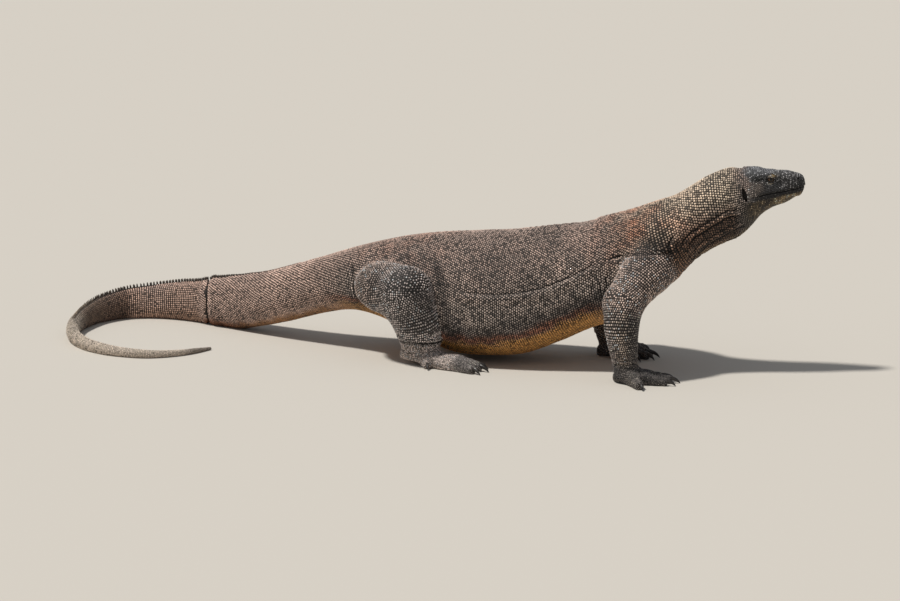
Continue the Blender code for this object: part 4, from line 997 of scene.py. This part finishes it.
def on_skin(skin, seeds):
    """Lays the seeds on the skin, thins them where forms meet, and fills the places that no ring reached."""
    mesh = skin.data
    points, normal = points_of(mesh), normals_of(mesh)
    mesh.calc_loop_triangles()
    corners = np.empty(len(mesh.loop_triangles) * 3, np.int32)
    mesh.loop_triangles.foreach_get("vertices", corners)
    corners = corners.reshape(-1, 3)
    tree = BVHTree.FromPolygons(points.tolist(), corners.tolist())
    keep = np.zeros(len(seeds), bool)
    at, lie = np.zeros((len(seeds), 3)), np.zeros((len(seeds), 3))
    seeds = seeds.copy()
    stray = np.where((seeds[:, 10] == 0) & (seeds[:, 8] > FOLD_AT) & (seeds[:, 8] < at_station("tail_7")), 0.06, 0.20)
    seeds[:, :3] += (RNG.random((len(seeds), 3)) - 0.5) * stray[:, None] * np.sqrt(seeds[:, 6] * seeds[:, 7])[:, None]
    for i, row in enumerate(seeds):
        spot, _, face, far = tree.find_nearest(Vector(row[:3]), 0.0075)
        if spot is not None:
            at[i] = spot
            lie[i] = normal[corners[face]].mean(0)
            keep[i] = True
    keep &= ~bare_places(at, seeds[:, 10] == 0)
    seeds, at, lie = seeds[keep], at[keep], lie[keep]
    pitch = np.sqrt(seeds[:, 6] * seeds[:, 7])
    alive = thinned(at, 0.62 * pitch)
    seeds, at, lie, pitch = seeds[alive], at[alive], lie[alive], pitch[alive]
    # fill
    centre = centres_of(mesh)
    facing = np.empty(len(centre) * 3)
    mesh.polygons.foreach_get("normal", facing)
    facing = facing.reshape(-1, 3)
    rows = tree_of(at)
    found = np.array([(index, far) for _, index, far in (rows.find(q) for q in centre.tolist())])
    nearest = found[:, 0].astype(int)
    free = (found[:, 1] > 0.80 * pitch[nearest]) & ~bare_places(centre, seeds[nearest, 10] == 0)
    spots = np.where(free)[0]
    spots = spots[np.argsort(found[spots, 1] / pitch[nearest[spots]], kind="stable")]
    spots = spots[thinned(centre[spots], 0.84 * pitch[nearest[spots]])]
    more = seeds[nearest[spots]].copy()
    _, which, place, _, _ = shape(centre[spots])
    for i, (w, t) in enumerate(zip(which, place)):
        form = FORMS[int(w)]
        k = int(min(max(t, 0), len(form.rows) - 2))
        more[i, 3:6] = unit(form.rows[k + 1, :3] - form.rows[k, :3])
    step = centre[spots] - at[nearest[spots]]
    across = np.cross(facing[spots], more[:, 3:6])
    more[:, 8] += (step * more[:, 3:6]).sum(1)
    more[:, 9] += (step * across).sum(1)
    return np.concatenate([seeds, more]), np.concatenate([at, centre[spots]]), unit(np.concatenate([lie, facing[spots]]))


def bead_shape(sides, square):
    """A domed scale: rings of points, from its sunken foot to its top, and its faces."""
    angle = 2 * np.pi * (np.arange(sides) + 0.5) / sides
    rings = []
    for radius, high in ((1.0, -0.35), (0.80, 0.62)):
        rings.append(np.column_stack([radius * np.cos(angle), radius * np.sin(angle), np.full(sides, high)]))
    points = np.concatenate(rings + [[[0.10, 0, 1.0]]])
    quads = [(i, (i + 1) % sides, sides + (i + 1) % sides, sides + i) for i in range(sides)]
    tris = [(sides + i, sides + (i + 1) % sides, 2 * sides) for i in range(sides)]
    # rim runs from 1 at the scale's foot to 0 at its top and sets the painted shade there
    rim = np.concatenate([np.ones(sides), np.full(sides, 0.38), [0.0]])
    return points, quads, tris, rim


def make_coat(name, at, normal, back, long, wide, tall, tone, chance, root):
    """One mesh of many scales, each turned to lie along the body."""
    points, quads, tris, rim = bead_shape(6, 0)
    n, m = len(at), len(points)
    along = unit(back - normal * (back * normal).sum(1, keepdims=True))
    turn = (RNG.random(n) - 0.5) * 0.30
    side = np.cross(normal, along)
    along, side = along * np.cos(turn)[:, None] + side * np.sin(turn)[:, None], side * np.cos(turn)[:, None] - along * np.sin(turn)[:, None]
    lift = points[None, :, 2] * tall[:, None] * (1 + 0.18 * points[None, :, 0] * (points[None, :, 2] > 0))
    co = (at[:, None] + along[:, None] * (points[None, :, 0:1] * long[:, None, None]) + side[:, None] * (points[None, :, 1:2] * wide[:, None, None]) + normal[:, None] * lift[:, :, None]).reshape(-1, 3)
    co[:, 2] = np.maximum(co[:, 2], 0.0001)
    base = (np.arange(n) * m)[:, None]
    fq = (base[:, :, None] + np.array(quads)[None]).reshape(-1, 4)
    ft = (base[:, :, None] + np.array(tris)[None]).reshape(-1, 3)
    loops = np.concatenate([fq.ravel(), ft.ravel()]).astype(np.int32)
    starts = np.concatenate([np.arange(len(fq)) * 4, len(fq) * 4 + np.arange(len(ft)) * 3]).astype(np.int32)
    mesh = bpy.data.meshes.new(name)
    mesh.vertices.add(len(co))
    mesh.loops.add(len(loops))
    mesh.polygons.add(len(starts))
    mesh.vertices.foreach_set("co", co.astype(np.float32).ravel())
    mesh.loops.foreach_set("vertex_index", loops)
    mesh.polygons.foreach_set("loop_start", starts)
    mesh.update(calc_edges=True)
    mesh.polygons.foreach_set("use_smooth", np.ones(len(starts), bool))
    give(mesh, "tone", "FLOAT_COLOR", np.column_stack([np.repeat(tone, m, axis=0), np.ones(n * m)]))
    give(mesh, "rim", "FLOAT", np.tile(rim, n))
    give(mesh, "chance", "FLOAT", np.repeat(chance, m))
    low, high = root.min(0), root.max(0)
    flat = 0.01 + 0.98 * (root - low) / np.maximum(high - low, 1e-6)
    uv = (flat[:, None] + 0.0015 * points[None, :, :2]).reshape(-1, 2)
    layer = mesh.uv_layers.new(name="OFBake")
    layer.data.foreach_set("uv", uv[loops].astype(np.float32).ravel())
    made = bpy.data.objects.new(name, mesh)
    bpy.context.scene.collection.objects.link(made)
    return made


def give(mesh, name, kind, values):
    attribute = mesh.attributes.new(name, kind, "POINT")
    key = {"FLOAT": "value", "FLOAT_COLOR": "color", "FLOAT_VECTOR": "vector"}[kind]
    attribute.data.foreach_set(key, np.ascontiguousarray(values, np.float32).ravel())


# ------------------------------------------------------------------ materials
class Nodes:
    """A short way to write a node material."""

    def __init__(self, name):
        self.material = bpy.data.materials.new(name)
        self.material.use_nodes = True
        self.tree = self.material.node_tree
        self.shader = self.tree.nodes["Principled BSDF"]

    def add(self, kind, **settings):
        node = self.tree.nodes.new(kind)
        for key, value in settings.items():
            setattr(node, key, value)
        return node

    def link(self, a, out, b, into):
        self.tree.links.new(a.outputs[out], b.inputs[into])

    def noise(self, scale, detail=3.0, rough=0.55):
        coordinates = self.add("ShaderNodeTexCoord")
        node = self.add("ShaderNodeTexNoise")
        node.inputs["Scale"].default_value = scale
        node.inputs["Detail"].default_value = detail
        node.inputs["Roughness"].default_value = rough
        self.link(coordinates, "Object", node, "Vector")
        return node

    def span(self, node, out, low, high, to_low, to_high):
        made = self.add("ShaderNodeMapRange")
        for key, value in (("From Min", low), ("From Max", high), ("To Min", to_low), ("To Max", to_high)):
            made.inputs[key].default_value = value
        self.link(node, out, made, "Value")
        return made

    def times(self, a, a_out, b, b_out):
        made = self.add("ShaderNodeMath", operation="MULTIPLY")
        self.link(a, a_out, made, 0)
        self.link(b, b_out, made, 1)
        return made

    def shaded(self, colour, colour_out, factor, factor_out):
        """The colour multiplied by a factor."""
        made = self.add("ShaderNodeVectorMath", operation="SCALE")
        self.link(colour, colour_out, made, 0)
        self.link(factor, factor_out, made, "Scale")
        return made

    def bump(self, node, out, strength, distance):
        made = self.add("ShaderNodeBump")
        made.inputs["Strength"].default_value = strength
        made.inputs["Distance"].default_value = distance
        self.link(node, out, made, "Height")
        self.link(made, "Normal", self.shader, "Normal")


def scale_material(name, gloss=0.46, dark=0.10, spread=(0.62, 1.30)):
    m = Nodes(name)
    tone = m.add("ShaderNodeAttribute", attribute_name="tone")
    rim = m.add("ShaderNodeAttribute", attribute_name="rim")
    chance = m.add("ShaderNodeAttribute", attribute_name="chance")
    # painted shade: each scale darkens from its top towards its foot, down to the factor dark
    edge = m.span(rim, "Fac", 0.25, 1.0, 1.0, dark)
    varied = m.span(chance, "Fac", 0.0, 1.0, *spread)
    grain = m.noise(900, 2.0)
    speck = m.span(grain, "Fac", 0.3, 0.7, 0.82, 1.16)
    both = m.times(edge, "Result", varied, "Result")
    factor = m.times(both, "Value", speck, "Result")
    colour = m.shaded(tone, "Color", factor, "Value")
    m.link(colour, "Vector", m.shader, "Base Color")
    wear = m.noise(260, 3.0)
    rough = m.span(wear, "Fac", 0.3, 0.7, gloss, gloss + 0.22)
    m.link(rough, "Result", m.shader, "Roughness")
    m.shader.inputs["Specular IOR Level"].default_value = 0.5
    m.bump(m.noise(1400, 2.0), "Fac", 0.22, 0.0004)
    return m.material


def hide_material():
    m = Nodes("hide")
    tone = m.add("ShaderNodeAttribute", attribute_name="tone")
    grain = m.noise(420, 4.0)
    speck = m.span(grain, "Fac", 0.3, 0.7, 0.70, 1.25)
    colour = m.shaded(tone, "Color", speck, "Result")
    m.link(colour, "Vector", m.shader, "Base Color")
    rough = m.span(m.noise(150, 3.0), "Fac", 0.3, 0.7, 0.62, 0.85)
    m.link(rough, "Result", m.shader, "Roughness")
    m.shader.inputs["Specular IOR Level"].default_value = 0.35
    m.bump(m.noise(1100, 4.0), "Fac", 0.5, 0.0006)
    return m.material


# ------------------------------------------------------------------ stage
def look_at(obj, place, forward, up):
    f = Vector(forward).normalized()
    r = f.cross(Vector(up)).normalized()
    u = r.cross(f)
    obj.matrix_world = Matrix(((r.x, u.x, -f.x, place[0]), (r.y, u.y, -f.y, place[1]), (r.z, u.z, -f.z, place[2]), (0, 0, 0, 1)))


def make_camera():
    az, el = math.radians(20), math.radians(10)
    right = np.array([math.cos(az), math.sin(az), 0])
    forward = np.array([-math.sin(az) * math.cos(el), math.cos(az) * math.cos(el), -math.sin(el)])
    up = np.cross(right, forward)
    anchor = np.array([0.1614, 0.0241, 0.134])
    place = anchor - 9.2 * forward - 0.1 * right - 0.017 * up
    data = bpy.data.cameras.new("camera")
    data.lens, data.sensor_width = 184.0, 36.0
    data.clip_end = 200
    camera = bpy.data.objects.new("camera", data)
    bpy.context.scene.collection.objects.link(camera)
    look_at(camera, place, forward, (0, 0, 1))
    bpy.context.scene.camera = camera


def make_stage():
    made = bmesh.new()
    bmesh.ops.create_grid(made, x_segments=2, y_segments=2, size=40)
    mesh = bpy.data.meshes.new("floor")
    made.to_mesh(mesh)
    made.free()
    floor = bpy.data.objects.new("floor", mesh)
    bpy.context.scene.collection.objects.link(floor)
    pale = bpy.data.materials.new("pale_floor")
    pale.use_nodes = True
    shader = pale.node_tree.nodes["Principled BSDF"]
    shader.inputs["Base Color"].default_value = (0.62, 0.58, 0.52, 1)
    shader.inputs["Roughness"].default_value = 0.9
    shader.inputs["Specular IOR Level"].default_value = 0.2
    mesh.materials.append(pale)
    world = bpy.data.worlds.new("room")
    bpy.context.scene.world = world
    world.use_nodes = True
    world.node_tree.nodes["Background"].inputs[0].default_value = (0.86, 0.90, 0.97, 1)
    world.node_tree.nodes["Background"].inputs[1].default_value = 0.30
    data = bpy.data.lights.new("sun", "SUN")
    data.energy, data.angle, data.color = 2.95, 0.10, (1.0, 0.975, 0.93)
    sun = bpy.data.objects.new("sun", data)
    bpy.context.scene.collection.objects.link(sun)
    look_at(sun, (-1.0, -0.8, 2.7), (0.335, 0.262, -0.905), (0, 0, 1))
    return floor


def make_crest(skin, look):
    """Two rows of tall, keeled scales along the top of the tail."""
    tree = BVHTree.FromPolygons(points_of(skin.data).tolist(), [tuple(q.vertices) for q in skin.data.polygons])
    at, lie, back, size, root = [], [], [], [], []
    start, stop = at_station("tail_1"), at_station("bend_3")
    r = start
    while r < stop:
        centre, forward, left, up, half = (v[0] for v in body_frame([r]))
        grow = float(0.28 + 0.72 * ramp(r, FOLD_AT - 0.12, FOLD_AT + 0.01)) * float(1 - 0.62 * ramp(r, at_station("bend_1"), stop))
        pitch = float(1.32 * pitches(r)[0])
        if abs(r - FOLD_AT) > 0.0028:
            for hand in (-1, 1):
                spot, n, _, _ = tree.find_nearest(Vector(centre + up * (half[1] + 0.004) + left * hand * 0.0021))
                at.append(spot)
                lie.append(unit(0.35 * np.array(n) + 0.65 * up + 0.05 * hand * left))
                back.append(-forward)
                size.append((0.31 * pitch, 0.00165, 0.0072 * grow))
                root.append((r, hand * 0.0021))
        r += pitch
    at, lie, back, size, root = (np.array(v) for v in (at, lie, back, size, root))
    n = len(at)
    deep = ramp(np.array(root)[:, :1], start + 0.02, FOLD_AT - 0.05)
    worn = ramp(np.array(root)[:, :1], at_station("bend_1"), at_station("bend_2"))
    tone = (PINKISH * 0.85 * (1 - deep) + (srgb(84, 72, 62) * (1 - worn) + srgb(128, 113, 96) * worn) * deep) * (0.7 + 0.6 * RNG.random(n))[:, None]
    piece = make_coat("coat_crest", at, lie, back, size[:, 0], size[:, 1], size[:, 2], tone, RNG.random(n), root)
    piece.data.materials.append(look)
    shifted(piece)
    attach(piece, "root")


def claw_material():
    m = Nodes("claw_horn")
    down = m.add("ShaderNodeAttribute", attribute_name="along")
    base = m.add("ShaderNodeValToRGB")
    base.color_ramp.elements[0].color = (0.040, 0.034, 0.030, 1)
    base.color_ramp.elements[1].color = (0.010, 0.009, 0.009, 1)
    m.link(down, "Fac", base, "Fac")
    streak = m.span(m.noise(700, 3.0), "Fac", 0.3, 0.7, 0.7, 1.5)
    colour = m.shaded(base, "Color", streak, "Result")
    m.link(colour, "Vector", m.shader, "Base Color")
    rough = m.span(m.noise(300, 2.0), "Fac", 0.3, 0.7, 0.22, 0.42)
    m.link(rough, "Result", m.shader, "Roughness")
    m.bump(m.noise(900, 3.0), "Fac", 0.15, 0.0003)
    return m.material


def eye_material():
    m = Nodes("eyeball")
    polar = m.add("ShaderNodeAttribute", attribute_name="polar")
    band = m.add("ShaderNodeValToRGB")
    stops = band.color_ramp
    stops.elements[0].position, stops.elements[0].color = 0.0, (0.002, 0.002, 0.002, 1)
    stops.elements[1].position, stops.elements[1].color = 1.0, (0.012, 0.007, 0.005, 1)
    for place, colour in ((0.125, (0.002, 0.002, 0.002, 1)), (0.140, (0.16, 0.09, 0.035, 1)), (0.165, (0.06, 0.030, 0.013, 1)),
                          (0.315, (0.028, 0.014, 0.007, 1)), (0.345, (0.010, 0.006, 0.004, 1))):
        stop = stops.elements.new(place)
        stop.color = colour
    m.link(polar, "Fac", band, "Fac")
    ray = m.span(m.noise(900, 2.0), "Fac", 0.3, 0.7, 0.7, 1.4)
    colour = m.shaded(band, "Color", ray, "Result")
    m.link(colour, "Vector", m.shader, "Base Color")
    wet = m.span(m.noise(200, 2.0), "Fac", 0.3, 0.7, 0.08, 0.14)
    m.link(wet, "Result", m.shader, "Roughness")
    m.shader.inputs["Specular IOR Level"].default_value = 0.4
    return m.material


def shifted(obj):
    """Moves a piece's mesh from the animal's own axes to the row frame."""
    obj.data.transform(Matrix.Translation(Vector(SHIFT)))
    return obj


def make_claws(prefix, claws, material):
    made = bmesh.new()
    along_values = []
    for name, point, slope, cross, raised, size in claws:
        rows = []
        for t in np.linspace(-0.16, 1.0, 15):
            fat = float(smooth([-0.2, 0.0, 0.4, 0.78, 1.0], [[1.0], [1.0], [0.80], [0.42], [0.05]], [t])[0, 0])
            bend = t * 0.75
            middle = point + slope * (size * (t - 0.10 * t * t)) + raised * (0.0018 + size * (0.17 * t - 0.42 * t * t))
            tilt = unit(slope * math.cos(bend) - raised * math.sin(bend))
            top = np.cross(tilt, cross)
            angle = 2 * np.pi * np.arange(12) / 12
            high = np.where(np.sin(angle) > 0, 1.0, 0.85)
            ring = middle + (np.cos(angle) * CLAW_ROOT * 0.60 * fat)[:, None] * cross + (np.sin(angle) * high * CLAW_ROOT * fat)[:, None] * top
            ring[:, 2] = np.maximum(ring[:, 2], 0.0005)
            rows.append([made.verts.new(q) for q in ring])
            along_values += [max(0.0, t)] * 12
        for a, b in zip(rows, rows[1:]):
            for i in range(12):
                made.faces.new((a[i], a[(i + 1) % 12], b[(i + 1) % 12], b[i]))
        made.faces.new(rows[0])
        made.faces.new(rows[-1])
    bmesh.ops.recalc_face_normals(made, faces=made.faces)
    mesh = bpy.data.meshes.new(prefix + "_claws")
    made.to_mesh(mesh)
    made.free()
    mesh.polygons.foreach_set("use_smooth", np.ones(len(mesh.polygons), bool))
    give(mesh, "along", "FLOAT", np.array(along_values))
    mesh.materials.append(material)
    piece = bpy.data.objects.new(prefix + "_claws", mesh)
    bpy.context.scene.collection.objects.link(piece)
    shifted(piece)
    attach(piece, "root")
    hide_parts(*[c[0] for c in claws])


def make_eye(name, side, material):
    made = bmesh.new()
    bmesh.ops.create_uvsphere(made, u_segments=32, v_segments=24, radius=1.0)
    mesh = bpy.data.meshes.new("eyeball_" + name)
    made.to_mesh(mesh)
    made.free()
    p = points_of(mesh)
    out = unit(EYE_L * side + 0.12 * EYE_F + 0.04 * EYE_U)
    first = unit(np.cross(out, EYE_U))
    second = np.cross(out, first)
    bulge = 1 + 0.05 * ramp(p[:, 2], 0.80, 1.0)
    give(mesh, "polar", "FLOAT", np.arccos(np.clip(p[:, 2], -1, 1)) / np.pi)
    world = EYE_AT[side] + EYE_RADIUS * (p[:, :1] * first + p[:, 1:2] * second + (p[:, 2] * bulge)[:, None] * out)
    set_points(mesh, world)
    mesh.polygons.foreach_set("use_smooth", np.ones(len(mesh.polygons), bool))
    mesh.materials.append(material)
    piece = bpy.data.objects.new("eyeball_" + name, mesh)
    bpy.context.scene.collection.objects.link(piece)
    shifted(piece)
    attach(piece, "root")
    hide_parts("eye_" + name)


def heights(p, which, place, a, b):
    """Height on the section, -1 below to 1 above, and length along the body."""
    s = np.where(which == 0, TAIL_END * place / 999, 9.0)
    size = body_frame(np.clip(s, 0, TAIL_END))[4]
    h = np.where(b >= 0, b / size[:, 1], b / size[:, 2])
    return s, np.where(which == 0, np.clip(h, -1.1, 1.1), 0.0), a / size[:, 0]


def dress(skin):
    """Colours the skin and lays the scales on it."""
    mesh = skin.data
    p = points_of(mesh)
    _, which, place, a, b = shape(p)
    s, h, inner = heights(p, which, place, a, b)
    facing = normals_of(mesh)
    tone = soften_roots(markings_and_painted_shade(p, s, h, which, inner, facing[:, 0]), p, which)
    # the skin between the scales is dark: partly its own darker colour, partly painted shade between the beads
    gap = np.full(len(p), 0.05)
    gap = np.where(which == 0, blendc(gap, 0.40, ramp(h, -0.60, -0.80) * ramp(s, at_station("shoulder"), at_station("axilla"))), gap)
    gap = np.where((which == 0) & (s < at_station("ear")), 0.22, gap)
    gap = np.where(which == 0, blendc(gap, 0.36, ramp(s, at_station("bend_in"), at_station("bend_2"))), gap)
    gap = np.where(which > 8, 0.15, gap)
    for side in (-1, 1):
        gap = np.where(np.linalg.norm(p - EYE_AT[side], axis=1) < 0.011, 0.8, gap)
        d = p - EARS[side]
        # painted shade inside the ear's slot and the nostril's pit
        gap = np.where((np.linalg.norm(d, axis=1) < 0.020) & ((d @ EAR_L) * side < -0.0022), 0.10, gap)
        gap = np.where(np.linalg.norm(p - NOSTRILS[side], axis=1) < 0.0024, 0.12, gap)
    give(mesh, "tone", "FLOAT_COLOR", np.column_stack([tone * gap[:, None], np.ones(len(p))]))
    mesh.materials.append(hide_material())

    seeds, at, normal = on_skin(skin, seed_scales())
    form = seeds[:, 10].astype(int)
    t = np.zeros(len(seeds))
    on_body = form == 0
    t[on_body] = np.interp(seeds[on_body, 8], BODY_FORM.run, np.arange(1000.0))
    s = np.where(on_body, t * TAIL_END / 999, 9.0)
    _, which, place, a, b = shape(at)
    s2, h, inner = heights(at, which, place, a, b)
    tone = soften_roots(markings_and_painted_shade(at, s2, h, which, inner, normal[:, 0]), at, which)
    chance = RNG.random(len(seeds))
    pale = RNG.random(len(seeds))
    back = seeds[:, 3:6]
    long, wide = seeds[:, 6] * 0.395, seeds[:, 7] * 0.395
    tall = 0.27 * np.sqrt(seeds[:, 6] * seeds[:, 7])
    head = on_body & (s < at_station("ear"))
    tall = np.where(head, tall * 0.62, tall)
    tall = np.where(on_body & (h < -0.6) & (s < FOLD_AT), tall * 0.6, tall)
    tall = np.where(form > 8, tall * 0.75, tall)
    grow = 1 + 0.10 * (RNG.random(len(seeds)) - 0.5)
    grow = grow * (1 + 0.09 * on_body * ramp(s, at_station("ear"), at_station("nape")) * ramp(s, at_station("chest_front"), at_station("neck_base")))
    long, wide = long * grow, wide * grow
    # stray pale scales on the head and the legs
    gap = mouth_gap(at)
    specked = head & ((h > 0.40) | (s < at_station("eye", -0.012))) & (gap > 0.004)
    dim = tone.mean(axis=1) < 0.20
    tone = np.where((specked & dim & (pale > np.where(s < at_station("eye"), 0.66, 0.72)))[:, None], np.minimum(tone * 3.2 + 0.14, 0.60), tone)
    crown = specked & ~dim & (s > at_station("eye")) & (h > 0.6)
    tone = np.where((crown & (pale > 0.72))[:, None], np.minimum(tone * 1.9 + 0.04, 0.60), tone)
    tone = np.where((head & ~specked & (pale > 0.88))[:, None], np.minimum(tone * 2.6 + 0.05, 0.6), tone)
    grey = tone.mean(axis=1)[:, None] * np.array([1.14, 1.0, 0.84])
    tone = np.where(((pale > 0.90) & (form > 0))[:, None], np.minimum(grey * 1.8 + 0.04, 0.6), tone)
    on_tail = on_body & (s > at_station("hip"))
    tone = np.where(((pale < np.where(on_tail, 0.08, 0.22)) & (h > -0.50) & ~head)[:, None], tone * 0.32, tone)
    tone = np.where((~head & (h > -0.50) & on_body & ~on_tail)[:, None], tone * 1.22, tone)
    tone = np.where(((pale < 0.10) & (h <= -0.50) & on_body)[:, None], tone * 0.25, tone)
    # in the tail's rings the scales stand tall and close, with lines between the rings
    ringed = on_body & (s > FOLD_AT - 0.001) & (s < at_station("tail_7"))
    long, wide, tall = np.where(ringed, long * np.where(s > at_station("bend_2"), 1.0, 0.83), long), np.where(ringed, wide * 1.27, wide), np.where(ringed, tall * 1.15, tall)
    flank = on_body & (s > at_station("axilla")) & (s < at_station("hip")) & (h < 0.2)
    long, wide = np.where(flank, long * 0.94, long), np.where(flank, wide * 1.10, wide)
    # none in the tail's fold, and none where the crest stands
    crest_wide = 0.0042
    gone = on_body & ((np.abs(fold_gap(at, s)) < 0.0021) | ((np.abs(seeds[:, 9]) < crest_wide) & (s > at_station("tail_1")) & (s < at_station("bend_3"))))
    kept = ~gone
    seeds, at, normal, form, on_body, s, h, tone, chance, back, long, wide, tall = (
        v[kept] for v in (seeds, at, normal, form, on_body, s, h, tone, chance, back, long, wide, tall))
    labels = np.full(len(seeds), "coat_neck", dtype=object)
    left = seeds[:, 9] >= 0
    st = at_station
    labels[on_body & (s < st("ear"))] = "coat_head"
    for start, stop, word in ((st("neck_base", 0.006), st("ribs"), "chest"), (st("ribs"), st("flank"), "trunk"), (st("flank"), st("vent", 0.03), "loin")):
        part = on_body & (s >= start) & (s < stop)
        labels[part & left], labels[part & ~left] = f"coat_{word}_left", f"coat_{word}_right"
    labels[on_body & (s >= st("vent", 0.03)) & (s < FOLD_AT)] = "coat_tail_base"
    labels[on_body & (s >= FOLD_AT) & (s < st("bend_1"))] = "coat_tail_middle"
    labels[on_body & (s >= st("bend_1"))] = "coat_tail_end"
    offset = np.zeros(len(seeds))
    for key, (upper, lower) in LIMBS.items():
        for k, item in enumerate((upper, lower)):
            mine = form == FORM_ID[item.name]
            labels[mine] = f"coat_{key[0]}_{'arm' if key[1] == 'fore' else 'leg'}"
            offset[mine] = k * 0.20
        for k, item in enumerate(FEET[key]):
            mine = form == FORM_ID[item.name]
            labels[mine] = f"coat_{key[0]}_{key[1]}foot"
            offset[mine] = k * 0.13
    looks = {"head": scale_material("scales_head", 0.36, 0.12, (0.55, 1.40)), "body": scale_material("scales_body", 0.46, 0.07, (0.60, 1.35)),
             "tail": scale_material("scales_tail", 0.50, 0.08, (0.62, 1.32)), "leg": scale_material("scales_leg", 0.44, 0.08, (0.55, 1.45))}
    for label in sorted(set(labels)):
        mine = labels == label
        root = np.column_stack([seeds[mine, 8] + offset[mine], seeds[mine, 9]])
        piece = make_coat(label, at[mine], normal[mine], back[mine], long[mine], wide[mine], tall[mine], tone[mine], chance[mine], root)
        kind = "head" if "head" in label else "tail" if "tail" in label else "leg" if ("arm" in label or "leg" in label or "foot" in label) else "body"
        piece.data.materials.append(looks[kind])
        shifted(piece)
        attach(piece, "root")
    make_crest(skin, looks["tail"])


skin = make_skin()
dress(skin)
shifted(skin)
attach(skin, "root")
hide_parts(*[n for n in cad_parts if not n.startswith("eye_") and "claw" not in n])
horn = claw_material()
for foot in ("right_forefoot", "left_forefoot", "right_hindfoot", "left_hindfoot"):
    make_claws(foot, [c for c in CLAWS if c[0].startswith(foot)], horn)
ball = eye_material()
make_eye("right", -1, ball)
make_eye("left", 1, ball)
bpy.context.scene.view_settings.view_transform = "Standard"

make_camera()
make_stage()
